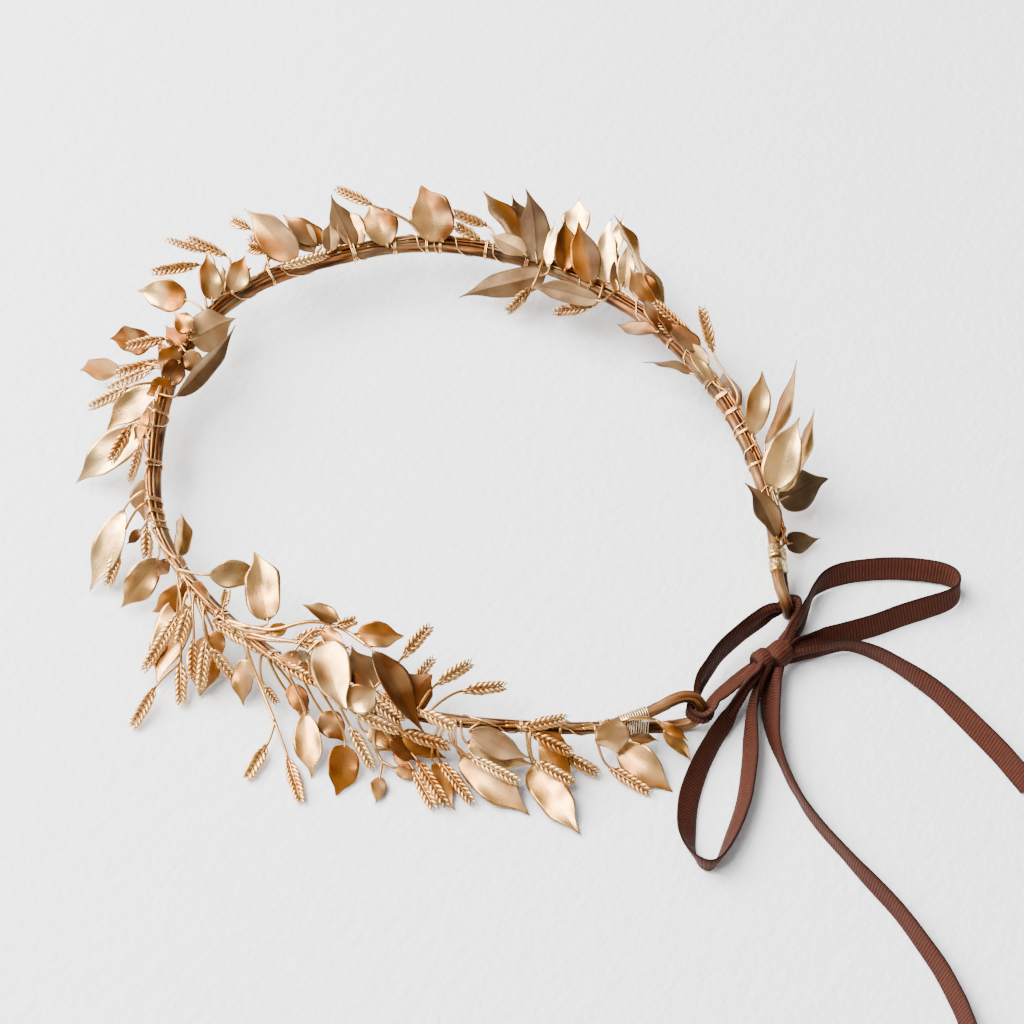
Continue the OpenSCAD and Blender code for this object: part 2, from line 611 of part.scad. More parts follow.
module bow_knot() {
    color("sienna")
    hull() {
        for (e = [[761, 661, 6, 6], [770, 656, 6, 6.6], [781, 654.5, 5.6, 6]]) {
            translate(spot(e[0], e[1], e[2])) sphere(d = e[3], $fn = 12);
        }
    }
}
module bow_loop_right() {
    ribbon([
        [789, 644, 6.4, 72, 0.7],
        [794, 632, 6, 74, 0.85],
        [801.5, 619, 5, 78, 0.9],
        [808, 604, 4.4, 84, 1],
        [814, 590, 4, 90, 1],
        [824, 581, 3.8, 76, 1],
        [838, 575, 3.6, 64, 1],
        [858, 571, 3.5, 59, 1],
        [890, 568.5, 3.4, 58, 1],
        [920, 570, 3.4, 58, 1],
        [944, 574, 3.5, 66, 1],
        [957, 581, 3.8, 84, 1],
        [958, 592, 3.8, 100, 1],
        [948, 600, 3.7, 112, 1],
        [928, 607, 3.6, 120, 1],
        [900, 616, 3.5, 122, 1],
        [875, 625, 3.5, 122, 1],
        [850, 632, 3.5, 120, 1],
        [825, 638, 3.8, 116, 1],
        [808, 642, 4.8, 112, 0.85],
        [798, 644.5, 5.6, 110, 0.7]], 2);
}
module bow_loop_left() {
    ribbon([
        [757, 674, 8, 104, 0.45],
        [752, 680, 7.9, 110, 0.6],
        [745, 689, 7.6, 112, 0.7],
        [736, 704, 6.4, 114, 0.85],
        [727, 720, 4.6, 117, 1],
        [713, 741, 3.6, 122, 1],
        [699, 769, 3.2, 132, 1],
        [689, 798, 2.9, 142, 1],
        [686.5, 825, 2.9, 140, 1],
        [689, 845, 3.3, 124, 1],
        [698, 860, 3.6, 104, 1],
        [711, 865, 3.6, 100, 1],
        [721, 856, 3.4, 112, 1],
        [733, 832, 3, 126, 1],
        [743.5, 801, 3, 128, 1],
        [749.5, 765, 3.2, 126, 1],
        [750.5, 735, 3.8, 124, 1],
        [752, 710, 4.8, 122, 0.9],
        [756.5, 692, 5.6, 118, 0.75],
        [762, 677, 5.8, 112, 0.55]], 2);
}
module ribbon_tail_right() {
    ribbon([
        [792, 656, 4.4, 92, 0.65],
        [806, 652.5, 4.4, 94, 0.8],
        [824, 648.5, 4.2, 96, 0.95],
        [844, 645, 4, 100, 1],
        [860, 647.5, 3.8, 98, 1],
        [880, 655, 3.7, 92, 1],
        [900, 666, 3.7, 86, 1],
        [920, 679, 3.7, 79, 1],
        [940, 694, 3.6, 73, 1],
        [960, 712, 3.5, 66, 1],
        [980, 731.5, 3.4, 62, 1],
        [1000, 752, 3.4, 60, 1],
        [1020, 775, 3.3, 57, 1],
        [1034, 791, 3.2, 56, 1]], 1);
}
module ribbon_tail_left() {
    ribbon([
        [776, 669, 4.6, 42, 0.62],
        [773, 679, 4.3, 42, 0.8],
        [771.5, 688, 4, 42, 0.92],
        [770.5, 703, 3.6, 44, 1],
        [772, 720, 3.6, 57, 1],
        [775.5, 740, 3.6, 75, 1],
        [781.5, 758, 3.7, 86, 1],
        [789, 777, 3.7, 90, 1],
        [797, 792, 3.7, 94, 1],
        [808, 810, 3.7, 93, 1],
        [830, 837, 3.7, 94, 1],
        [860, 869, 3.7, 86, 1],
        [880, 890.5, 3.7, 82, 1],
        [900, 912.5, 3.6, 80, 1],
        [920, 939, 3.6, 76, 1],
        [940, 968, 3.5, 72, 1],
        [958, 1000, 3.5, 70, 1],
        [966, 1020, 3.5, 70, 1],
        [972, 1036, 3.5, 70, 1]], 1);
}

head_band();
collar_right();
collar_left();
spray_01();
spray_02();
spray_03();
spray_04();
spray_05();
spray_06();
spray_07();
spray_08();
spray_09();
spray_10();
spray_11();
spray_12();
spray_13();
spray_14();
spray_15();
spray_16();
spray_17();
spray_18();
spray_19();
spray_20();
spray_21();
ribbon_tie();
bow_knot();
bow_loop_right();
bow_loop_left();
ribbon_tail_right();
ribbon_tail_left();
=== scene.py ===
import bpy
import math
import random
from mathutils import Matrix, Vector, noise


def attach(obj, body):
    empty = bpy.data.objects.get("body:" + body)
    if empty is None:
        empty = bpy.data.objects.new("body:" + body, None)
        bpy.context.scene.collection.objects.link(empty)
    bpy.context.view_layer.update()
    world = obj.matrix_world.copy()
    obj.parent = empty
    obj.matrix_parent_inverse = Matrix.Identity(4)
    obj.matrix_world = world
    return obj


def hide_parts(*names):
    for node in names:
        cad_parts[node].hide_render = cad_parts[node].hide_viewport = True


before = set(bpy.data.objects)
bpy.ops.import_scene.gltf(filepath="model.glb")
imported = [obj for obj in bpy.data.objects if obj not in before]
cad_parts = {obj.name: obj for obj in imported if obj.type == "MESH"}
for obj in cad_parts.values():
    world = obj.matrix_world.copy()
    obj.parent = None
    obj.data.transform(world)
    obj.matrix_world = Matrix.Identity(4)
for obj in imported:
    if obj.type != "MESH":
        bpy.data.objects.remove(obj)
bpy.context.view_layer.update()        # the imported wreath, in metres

# ---------------------------------------------------------------------------------------------
# The view. The wreath lies on a table and is looked down on across its right side.
# Places in the tables below are pixels of this view, px and py of 1024, with a height h above
# the table in millimetres, so that every piece lies where its solid lies.
view_rise = math.radians(50)
view_turn = math.radians(-48)
view_range = 0.750
view_aim = Vector((0.0075, -0.0125, 0))
frame_middle = 512
focal_px = 2700
mm = 0.001
up = Vector((0, 0, 1))

view_back = Vector((math.sin(view_turn) * math.cos(view_rise),
                    -math.cos(view_turn) * math.cos(view_rise), math.sin(view_rise)))
view_right = Vector((math.cos(view_turn), math.sin(view_turn), 0))
view_up = view_back.cross(view_right)
view_eye = view_aim + view_range * view_back


def add_object(name, data):
    """Put an object with its mesh, lens or lamp in the scene."""
    made = bpy.data.objects.new(name, data)
    bpy.context.scene.collection.objects.link(made)
    return made


lens = bpy.data.cameras.new("view")
lens.sensor_width = 36
lens.lens = 36 * focal_px / (2 * frame_middle)
camera = add_object("view", lens)
camera.matrix_world = Matrix((
    (view_right.x, view_up.x, view_back.x, view_eye.x),
    (view_right.y, view_up.y, view_back.y, view_eye.y),
    (view_right.z, view_up.z, view_back.z, view_eye.z),
    (0, 0, 0, 1)))
bpy.context.scene.camera = camera


def spot(px, py, h):
    """Place of a pixel of the view, at a height in millimetres above the table."""
    ray = (view_right * (px - frame_middle) / focal_px
           + view_up * (frame_middle - py) / focal_px - view_back)
    return view_eye + ray * ((h * mm - view_eye.z) / ray.z)


# ---------------------------------------------------------------------------------------------
# Ribbon. A chocolate brown grosgrain ribbon, 6.5 mm wide, with ribs across it and plain woven
# edges. It runs from the knot through both eyes of the band and back, and ends in a bow of two
# loops and two tails, lying loose on the table.
ribbon_width = 0.0065
ribbon_thickness = 0.0006
rib_pitch = 0.0009
rib_height = 0.00015
ribs_per_cycle = (0, 0.8, 1, 0.8)  # groove, flank, back and flank of one rib
cut_slant = 0.0024                 # how far one edge of a cut end is ahead of its middle
cut_stations = 12                  # over how many stations that slant runs out
fine_steps = 16                    # steps of a route between two of its rows
across_ribbon = (-1, -0.94, -0.8, -0.6, -0.4, -0.2, 0, 0.2, 0.4, 0.6, 0.8, 0.94, 1)


def curve_at(rows, u):
    """Smooth curve through a list of rows or points, u counting them from 0."""
    last = len(rows) - 1
    i = min(max(math.floor(u), 0), last - 1)
    f = u - i
    near = (rows[max(i - 1, 0)], rows[i], rows[i + 1], rows[min(i + 2, last)])
    return [(2 * b + (c - a) * f + (2 * a - 5 * b + 4 * c - d) * f * f
             + (3 * b - a - 3 * c + d) * f * f * f) / 2 for a, b, c, d in zip(*near)]


def evenly(rows, spacing):
    """Stations at even distances along a route: distance, row and place."""
    fine = [i / fine_steps for i in range((len(rows) - 1) * fine_steps + 1)]
    places = [spot(*curve_at(rows, u)[:3]) for u in fine]
    travelled = [0.0]
    for a, b in zip(places, places[1:]):
        travelled.append(travelled[-1] + (b - a).length)
    count = max(2, round(travelled[-1] / spacing))
    stations, j = [], 0
    for i in range(count + 1):
        distance = travelled[-1] * i / count
        while j < len(fine) - 2 and travelled[j + 1] < distance:
            j += 1
        part = (distance - travelled[j]) / (travelled[j + 1] - travelled[j])
        row = curve_at(rows, fine[j] + part / fine_steps)
        stations.append((distance, row, spot(*row[:3])))
    return stations


def new_shell():
    return {"points": [], "faces": [], "lay": [], "tone": [], "rim": [], "stuff": []}


def skin(shell, rings, lay, tones, rims, stuff=0, ends=True):
    """Join rings of points into a skin. lay holds one place more per ring than it has points."""
    n, first = len(rings[0]), len(shell["points"])
    for i, ring in enumerate(rings):
        shell["points"].extend(ring)
        shell["tone"].extend(tones[i] if isinstance(tones[i], list) else [tones[i]] * n)
        shell["rim"].extend(rims[i] if isinstance(rims[i], list) else [rims[i]] * n)
    for i in range(len(rings) - 1):
        for k in range(n):
            a, b = first + i * n + k, first + i * n + (k + 1) % n
            shell["faces"].append((a, b, b + n, a + n))
            shell["lay"].extend((lay[i][k], lay[i][k + 1], lay[i + 1][k + 1], lay[i + 1][k]))
            shell["stuff"].append(stuff)
    if ends:
        end = first + (len(rings) - 1) * n
        shell["faces"].append(tuple(first + k for k in reversed(range(n))))
        shell["lay"].extend(lay[0][k] for k in reversed(range(n)))
        shell["faces"].append(tuple(end + k for k in range(n)))
        shell["lay"].extend(lay[-1][k] for k in range(n))
        shell["stuff"].extend((stuff, stuff))


def make_piece(name, shell, materials, stands_for=None):
    """Make a piece from its skins, and fix it to the wreath."""
    mesh = bpy.data.meshes.new(name)
    mesh.from_pydata(shell["points"], [], shell["faces"])
    layer = mesh.uv_layers.new(name="lay")
    layer.data.foreach_set("uv", [x for place in shell["lay"] for x in place])
    tone = mesh.attributes.new("tone", 'FLOAT_COLOR', 'POINT')
    tone.data.foreach_set("color", [x for colour in shell["tone"] for x in colour])
    rim = mesh.attributes.new("rim", 'FLOAT', 'POINT')
    rim.data.foreach_set("value", shell["rim"])
    for material in materials:
        mesh.materials.append(material)
    mesh.polygons.foreach_set("material_index", shell["stuff"])
    mesh.polygons.foreach_set("use_smooth", [True] * len(mesh.polygons))
    mesh.update()
    piece = add_object(name, mesh)
    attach(piece, "root")
    if stands_for:
        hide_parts(stands_for)
    return piece


def feed(tree, node, inputs):
    """Give a node its inputs, each a value or the socket that it is linked to."""
    for key, value in inputs.items():
        if isinstance(value, bpy.types.NodeSocket):
            tree.links.new(value, node.inputs[key])
        else:
            node.inputs[key].default_value = value


def place(tree, kind, inputs=None, **settings):
    """Put a node in a tree, with its own settings and its inputs."""
    made = tree.nodes.new(kind)
    for key, value in settings.items():
        setattr(made, key, value)
    feed(tree, made, inputs or {})
    return made


def noise_in(tree, where, scale, detail, turned=0, **inputs):
    """Noise mask; a scale of three numbers stretches it, turned by an angle."""
    if isinstance(scale, tuple):
        lay = place(tree, "ShaderNodeMapping", {"Vector": where, "Rotation": (0, 0, turned),
                                                "Scale": scale})
        where, scale = lay.outputs[0], 1.0
    return place(tree, "ShaderNodeTexNoise", {"Vector": where, "Scale": scale, "Detail": detail,
                                              **inputs}).outputs["Fac"]


def ranged(tree, value, start=0.0, end=1.0, low=0.0, high=1.0):
    """Mask that goes from low to high while a value goes from start to end."""
    return place(tree, "ShaderNodeMapRange", {"Value": value, "From Min": start, "From Max": end,
                                              "To Min": low, "To Max": high}).outputs[0]


def worked(tree, operation, a, b):
    """Sum, difference or product of two masks or numbers."""
    return place(tree, "ShaderNodeMath", {0: a, 1: b}, operation=operation).outputs[0]


def mixed(tree, part, a, b, blend='MIX'):
    """Colour a with a part of colour b laid over it."""
    return place(tree, "ShaderNodeMix", {0: part, 6: a, 7: b}, data_type='RGBA',
                 blend_type=blend).outputs[2]


def bumped(tree, height, strength, distance):
    return place(tree, "ShaderNodeBump", {"Height": height, "Strength": strength,
                                          "Distance": distance}).outputs[0]


def attribute(tree, name):
    return place(tree, "ShaderNodeAttribute", attribute_name=name).outputs


def lay_in(tree):
    return place(tree, "ShaderNodeUVMap", uv_map="lay").outputs["UV"]


def new_material(name):
    """A material with an empty tree and its shader."""
    material = bpy.data.materials.new(name)
    material.use_nodes = True
    tree = material.node_tree
    tree.nodes.clear()
    shader = place(tree, "ShaderNodeBsdfPrincipled")
    place(tree, "ShaderNodeOutputMaterial", {"Surface": shader.outputs["BSDF"]})
    return material, tree, shader


# The rib mark is 1 on the back of a rib and 0 in the groove; the edge mark is in the tone.
# The dark groove colour is painted shade, and the lit colour is a painted sheen on the rib backs.
grosgrain, tree, shader = new_material("chocolate_grosgrain")
lay = lay_in(tree)
rib = attribute(tree, "rim")["Fac"]
edge = attribute(tree, "tone")["Fac"]
threads = noise_in(tree, lay, (5200, 520, 1), 2.0, Roughness=0.6)
fade = noise_in(tree, lay, (160, 190, 1), 3.0)
warp = noise_in(tree, lay, (1100, 3600, 1), 1.0)
# Painted light: the grooves are painted in shade and the backs of the ribs get a painted sheen.
lit = worked(tree, 'MULTIPLY', rib, ranged(tree, threads, 0.35, 0.7))
colour = mixed(tree, rib, (0.0100, 0.0028, 0.0018, 1), (0.056, 0.0160, 0.0095, 1))
colour = mixed(tree, lit, colour, (0.086, 0.0275, 0.0170, 1))
colour = mixed(tree, worked(tree, 'MULTIPLY', fade, 0.55), colour, (0.030, 0.0088, 0.0056, 1))
colour = mixed(tree, edge, colour, (0.010, 0.004, 0.003, 1))
feed(tree, shader, {
    "Base Color": colour, "Roughness": ranged(tree, threads, low=0.42, high=0.74),
    "Normal": bumped(tree, worked(tree, 'ADD', threads, warp), 0.5, 0.00009),
    "Specular IOR Level": 0.06, "Sheen Weight": 0.03, "Sheen Roughness": 0.4,
    "Sheen Tint": (0.6, 0.32, 0.22, 1)})


def pleated(share):
    """Section of the ribbon gathered to a share of its width: side, face and slope at each v."""
    slope = 2 * math.sqrt(1 - share) * (1 + 0.08 * (1 - share))
    section = []
    for v in across_ribbon:
        x = y = 0
        for i in range(12):
            tilt = slope * math.cos(1.5 * math.pi * v * (i + 0.5) / 12)
            x += math.cos(tilt) * v / 12
            y += math.sin(tilt) * v / 12
        section.append((x, y, slope * math.cos(1.5 * math.pi * v)))
    return section


def weave_ribbon(name, rows, cut=False):
    """Ribbon along rows of px, py, h, lean (0 lying flat, 90 on edge) and share of its width.
    Where the share is under 1 the ribbon is gathered into long pleats."""
    stations = evenly(rows, rib_pitch / 4)
    last = len(stations) - 1
    rings, lay_rows, ribs, edges = [], [], [], []
    for i, (distance, row, middle) in enumerate(stations):
        along = (stations[min(i + 2, last)][2] - stations[max(i - 2, 0)][2]).normalized()
        flat = up.cross(along).normalized()
        lean = math.radians(row[3])
        side = math.cos(lean) * flat + math.sin(lean) * along.cross(flat)
        face = along.cross(side)
        half = ribbon_width / 2
        rib = ribs_per_cycle[i % 4]
        slant = max(0, cut_stations - (last - i)) / cut_stations * cut_slant if cut else 0
        top, under = [], []
        for v, (x, y, tilt) in zip(across_ribbon, pleated(min(row[4], 0.998))):
            facing = -math.sin(tilt) * side + math.cos(tilt) * face
            point = middle + x * half * side + y * half * face + slant * v * along
            sway = noise.noise(Vector((distance * 95, v * 0.6, len(rows)))) * 0.00022
            wove = 1 - abs(v) ** 8
            depth = ribbon_thickness / 2 * (0.55 + 0.45 * wove) + rib * rib_height * wove
            top.append(point + facing * (sway + depth))
            under.append(point + facing * (sway - depth))
        rings.append(top + under[::-1])
        v_lay = [(distance, v * half) for v in across_ribbon]
        lay_rows.append(v_lay + v_lay[::-1] + v_lay[:1])
        rib_marks = [rib * (1 - abs(v) ** 8) for v in across_ribbon]
        ribs.append(rib_marks + rib_marks[::-1])
        edge_marks = [(e, e, e, 1) for e in
                      (0.85 if abs(v) == 1 else 0.3 if abs(v) > 0.9 else 0 for v in across_ribbon)]
        edges.append(edge_marks + edge_marks[::-1])
    shell = new_shell()
    skin(shell, rings, lay_rows, edges, ribs)
    piece = make_piece(name, shell, [grosgrain], name)
    return piece, [s[2] for s in stations[::8]] + [stations[-1][2]], stations[-1][0]


tie, tie_path, tie_length = weave_ribbon("ribbon_tie", [
    [759, 663, 6.2, 60, 0.55], [753, 666.5, 6, 52, 0.72], [742, 676, 6.6, 42, 0.95],
    [733, 684, 6.9, 38, 1],
    [722, 693.5, 7.4, 38, 1], [713.5, 702.5, 8.0, 50, 0.95], [711.5, 712.5, 8.3, 78, 0.76],
    [703, 718.5, 7.6, 88, 0.6], [690.5, 713.5, 6.8, 90, 0.52], [690.5, 706.5, 6.3, 90, 0.55],
    [696, 699, 6.2, 88, 0.6], [697.5, 690, 6.2, 82, 0.8], [701, 680, 6, 76, 0.95],
    [708, 669, 5.8, 75, 1], [721, 651, 5.6, 75, 1], [740, 633.5, 5.6, 75, 1],
    [760, 618.5, 5.8, 76, 0.95], [770, 612, 6, 82, 0.75], [778.5, 609, 5.3, 90, 0.5],
    [786.5, 602, 6, 90, 0.44], [796, 602.5, 5.8, 90, 0.6], [798, 609, 5.4, 90, 0.62],
    [794.5, 619.5, 4.8, 90, 0.68], [788, 632, 4.6, 88, 0.7], [780.5, 642.5, 4.8, 85, 0.65],
    [779, 650, 5, 85, 0.5]])
loop_right, loop_right_path, loop_right_length = weave_ribbon("bow_loop_right", [
    [783, 651, 6.2, 72, 0.55], [789, 644, 6.4, 72, 0.72], [794, 632, 6, 74, 0.85],
    [801.5, 619, 5, 78, 0.9],
    [808, 604, 4.4, 84, 1], [814, 590, 4, 90, 1], [824, 581, 3.8, 76, 1],
    [838, 575, 3.6, 64, 1], [858, 571, 3.5, 59, 1], [890, 568.5, 3.4, 58, 1],
    [920, 570, 3.4, 58, 1], [944, 574, 3.5, 66, 1], [957, 581, 3.8, 84, 1],
    [958, 592, 3.8, 100, 1], [948, 600, 3.7, 112, 1], [928, 607, 3.6, 120, 1],
    [900, 616, 3.5, 122, 1], [875, 625, 3.5, 122, 1], [850, 632, 3.5, 120, 1],
    [825, 638, 3.8, 116, 1], [808, 642, 4.8, 112, 0.85], [798, 644.5, 5.6, 110, 0.78],
    [787, 650.5, 5.8, 108, 0.62]])
loop_left, loop_left_path, loop_left_length = weave_ribbon("bow_loop_left", [
    [761, 666, 7.2, 104, 0.4], [757, 674, 7.8, 104, 0.5], [752, 680, 7.9, 110, 0.6],
    [745, 689, 7.6, 112, 0.7],
    [736, 704, 6.4, 114, 0.85], [727, 720, 4.6, 117, 1], [713, 741, 3.6, 122, 1],
    [699, 769, 3.2, 132, 1], [689, 798, 2.9, 142, 1], [686.5, 825, 2.9, 140, 1],
    [689, 845, 3.3, 124, 1], [698, 860, 3.6, 104, 1], [711, 865, 3.6, 100, 1],
    [721, 856, 3.4, 112, 1], [733, 832, 3, 126, 1], [743.5, 801, 3, 128, 1],
    [749.5, 765, 3.2, 126, 1], [750.5, 735, 3.8, 124, 1], [752, 710, 4.8, 122, 0.9],
    [756.5, 692, 5.6, 118, 0.75], [762, 677, 5.8, 112, 0.6],
    [767, 667, 6, 112, 0.5]])
tail_right, tail_right_path, tail_right_length = weave_ribbon("ribbon_tail_right", [
    [782, 658, 4.9, 92, 0.5], [792, 656, 4.4, 92, 0.7], [806, 652.5, 4.4, 94, 0.8],
    [824, 648.5, 4.2, 96, 0.95],
    [844, 645, 4, 100, 1], [860, 647.5, 3.8, 98, 1], [880, 655, 3.7, 92, 1],
    [900, 666, 3.7, 86, 1], [920, 679, 3.7, 79, 1], [940, 694, 3.6, 73, 1],
    [960, 712, 3.5, 66, 1], [980, 731.5, 3.4, 62, 1], [1000, 752, 3.4, 60, 1],
    [1020, 775, 3.3, 57, 1], [1034, 791, 3.2, 56, 1]], cut=True)
tail_left, tail_left_path, tail_left_length = weave_ribbon("ribbon_tail_left", [
    [777, 660, 5.2, 42, 0.5], [776, 669, 4.6, 42, 0.66], [773, 679, 4.3, 42, 0.8],
    [771.5, 688, 4, 42, 0.92],
    [770.5, 703, 3.6, 44, 1], [772, 720, 3.6, 57, 1], [775.5, 740, 3.6, 75, 1],
    [781.5, 758, 3.7, 86, 1], [789, 777, 3.7, 90, 1], [797, 792, 3.7, 94, 1],
    [808, 810, 3.7, 93, 1], [830, 837, 3.7, 94, 1], [860, 869, 3.7, 86, 1],
    [880, 890.5, 3.7, 82, 1], [900, 912.5, 3.6, 80, 1], [920, 939, 3.6, 76, 1],
    [940, 968, 3.5, 72, 1], [958, 1000, 3.5, 70, 1], [966, 1020, 3.5, 70, 1],
    [972, 1036, 3.5, 70, 1]], cut=True)

# The knot is two short turns of the same ribbon pulled tight round the others, so that each
# puckers into a small barrel with its ribs running over it.
knot_turns = [
    # px, py, h, direction of its axis in the view, length and radius in mm
    [(762.5, 660.5, 6.1), (749, 669.5, 6.5), 5.4, 3.05],
    [(778.5, 655, 5.8), (794, 641, 5.4), 7.0, 3.45]]
shell = new_shell()
for turn_number, (where, towards, long, wide) in enumerate(knot_turns):
    middle = spot(*where)
    axis = (spot(*towards) - middle).normalized()
    side = up.cross(axis).normalized()
    face = axis.cross(side)
    shape = [(-0.5, 0.18), (-0.56, 0.42), (-0.54, 0.62), (-0.44, 0.8), (-0.3, 0.93), (-0.14, 0.99),
             (0, 1), (0.14, 0.99), (0.3, 0.93), (0.44, 0.8), (0.54, 0.62), (0.56, 0.42),
             (0.5, 0.18)]
    steps = 84
    rings, lay_rows, ribs, edges = [], [], [], []
    for x, r in shape:
        ring, ring_lay, ring_ribs = [], [], []
        for k in range(steps + 1):
            angle = 2 * math.pi * k / steps
            rib = ribs_per_cycle[k % 4] if abs(x) < 0.5 else 0.2
            pucker = 1 + 0.09 * math.sin(3 * angle + turn_number) * abs(x) * 2 \
                + 0.05 * noise.noise(Vector((3 * math.cos(angle), 3 * math.sin(angle), 4 * x)))
            radius = wide * mm * r * pucker + rib * rib_height * 0.9
            flat_side = 0.93 if math.sin(angle) < 0 else 1
            ring.append(middle + axis * (x * long * mm * (1 + 0.06 * math.sin(2 * angle)))
                        + side * radius * math.cos(angle)
                        + face * radius * math.sin(angle) * flat_side)
            ring_lay.append((wide * mm * angle, x * long * mm))
            ring_ribs.append(rib)
        rings.append(ring[:-1])
        lay_rows.append(ring_lay)
        ribs.append(ring_ribs[:-1])
        e = 0.9 if abs(x) in (0.54, 0.56) else 0.5 if abs(x) == 0.5 else 0
        edges.append((e, e, e, 1))
    skin(shell, rings, lay_rows, edges, ribs)
knot = make_piece("bow_knot", shell, [grosgrain], "bow_knot")

# ---------------------------------------------------------------------------------------------
# Head band. One length of wire wrapped in gilded paper tape, 3.2 mm thick, bent into a small
# eye at each end. The tape is wound on at a slant, and its gilding has browned in streaks.
band_d = 0.0032
tape_pitch = 0.0062      # from one lap of the tape to the next
band_spacing = 0.0008    # between the rings of the band
eye_right_route = [
    [779.5, 560, 6], [781, 572, 4.4], [782.5, 586, 2.8], [784.5, 600, 2.1], [787, 611, 2.4],
    [788.5, 614.5, 4], [788, 609.5, 6.4], [786, 602.5, 8.8], [782.5, 594, 10.4],
    [779.5, 584, 10.9], [777.5, 574, 10.5], [776.3, 564, 9.7]]
band_route = [
    [775.5, 553, 9.2], [770, 518, 10], [757, 474, 11], [739, 432, 12], [715, 392, 13],
    [685, 357, 14], [651, 325, 14.5], [613, 300, 15], [572, 279, 15], [528, 263, 15],
    [482, 252, 15.5], [436, 247, 16], [390, 249, 16], [345, 258, 16], [300, 270, 16],
    [258, 287, 16], [222, 311, 16], [193, 341, 16], [174, 377, 16], [163, 416, 16],
    [157, 458, 16], [156, 500, 15.5], [165, 538, 15], [185, 573, 14.5], [212, 605, 14],
    [244, 633, 13.5], [281, 660, 13], [323, 684, 12.5], [369, 703, 12], [418, 715, 11.5],
    [467, 722, 11], [516, 726, 10], [565, 728, 9], [604, 727, 8.5]]
eye_left_route = [
    [626, 720, 8.7], [648, 712.5, 9.5], [660, 707, 10], [672, 700.5, 10.6], [684, 696.5, 11],
    [694, 698, 10.3], [700, 704.5, 8.4], [701.5, 711, 6], [698, 717.5, 4], [690, 722.5, 2.4],
    [678, 725, 2.1], [664, 727, 2.9], [650, 727.5, 4.3], [636, 728.5, 5.4], [627, 729, 6]]
band_points = [spot(*row) for row in eye_right_route + band_route + eye_left_route]
band_start = len(eye_right_route)


def band_at(u):
    """Middle of the band, u counting the points of band_route from 0."""
    return Vector(curve_at(band_points, band_start + u))


def band_heading(u):
    return (band_at(u + 0.1) - band_at(u - 0.1)).normalized()


def beside_band(u, lie, distance):
    """Point at a distance from the middle of the band, lie being 0 outwards and 90 on top."""
    out = band_heading(u).cross(up).normalized()
    return band_at(u) + distance * (math.cos(math.radians(lie)) * out
                                    + math.sin(math.radians(lie)) * up)


def tube(shell, path, radii, sides, tone, rim=0, stuff=0, side=None, bumps=None):
    """Round rod along a path, its radius given at each point, carried along without twisting."""
    last = len(path) - 1
    rings, lay_rows, distance = [], [], 0
    for i, point in enumerate(path):
        along = (path[min(i + 1, last)] - path[max(i - 1, 0)]).normalized()
        if side is None:
            side = up if abs(along.z) < 0.8 else view_right
        side = (side - along * side.dot(along)).normalized()
        other = along.cross(side)
        if i:
            distance += (point - path[i - 1]).length
        ring = []
        for k in range(sides):
            angle = 2 * math.pi * k / sides
            radius = radii[i] + (bumps(distance, angle) if bumps else 0)
            ring.append(point + radius * (math.cos(angle) * side + math.sin(angle) * other))
        rings.append(ring)
        lay_rows.append([(distance, radii[i] * 2 * math.pi * k / sides)
                         for k in range(sides + 1)])
    tones = tone if isinstance(tone, list) else [tone] * len(path)
    rims = rim if isinstance(rim, list) else [rim] * len(path)
    skin(shell, rings, lay_rows, tones, rims, stuff)


def tape_relief(distance, angle):
    """Slanting laps and small wrinkles of the tape."""
    lap = (distance / tape_pitch + angle / (2 * math.pi)) % 1
    wrinkle = noise.noise(Vector((distance * 420, 2.2 * math.cos(angle), 2.2 * math.sin(angle))))
    long_fold = noise.noise(Vector((distance * 90, 3.5 * math.cos(angle), 3.5 * math.sin(angle))))
    return 0.00010 * max(0, 1 - lap * 7) + 0.00007 * wrinkle + 0.00010 * long_fold


# Gilding with its wear and with painted light: one effect for everything that is gilded here.
# Tone is the leaf of metal laid on. Rim darkens it: painted shade along edges, in creases and
# in hollows, and an even darker tone on some whole parts. Satin is 1 for burnished metal and 0
# for bare matt ground. Patch is the fineness of its blotches: the browner ones are partly a random
# browner tone and partly painted dark reflection, and the paler ones are painted highlights.
worn = bpy.data.node_groups.new("worn_gilding", "ShaderNodeTree")
for in_out, sockets in (
        ('INPUT', {"Tone": "Color", "Rim": "Float", "Satin": "Float", "Patch": "Float",
                   "Lay": "Vector"}),
        ('OUTPUT', {"Colour": "Color", "Roughness": "Float", "Metal": "Float",
                    "Height": "Float"})):
    for label, kind in sockets.items():
        worn.interface.new_socket(label, in_out=in_out, socket_type="NodeSocket" + kind)
given = place(worn, "NodeGroupInput").outputs
where = place(worn, "ShaderNodeTexCoord").outputs["Object"]
blotch = ranged(worn, noise_in(worn, where, given["Patch"], 3.0, Roughness=0.55), 0.32, 0.72)
wider = worked(worn, 'MULTIPLY', given["Patch"], 0.45)
painted_gleam = ranged(worn, noise_in(worn, where, wider, 1.0), 0.44, 0.70)
painted_gleam = worked(worn, 'MULTIPLY', painted_gleam, given["Satin"])
speck = ranged(worn, noise_in(worn, where, 2300.0, 1.0), 0.54, 0.68)
brushed = noise_in(worn, given["Lay"], (150, 2600, 1), 2.0)
brown_patch_and_dark_reflection = mixed(worn, 1.0, given["Tone"], (0.46, 0.24, 0.105, 1), 'MULTIPLY')
colour = given["Tone"]
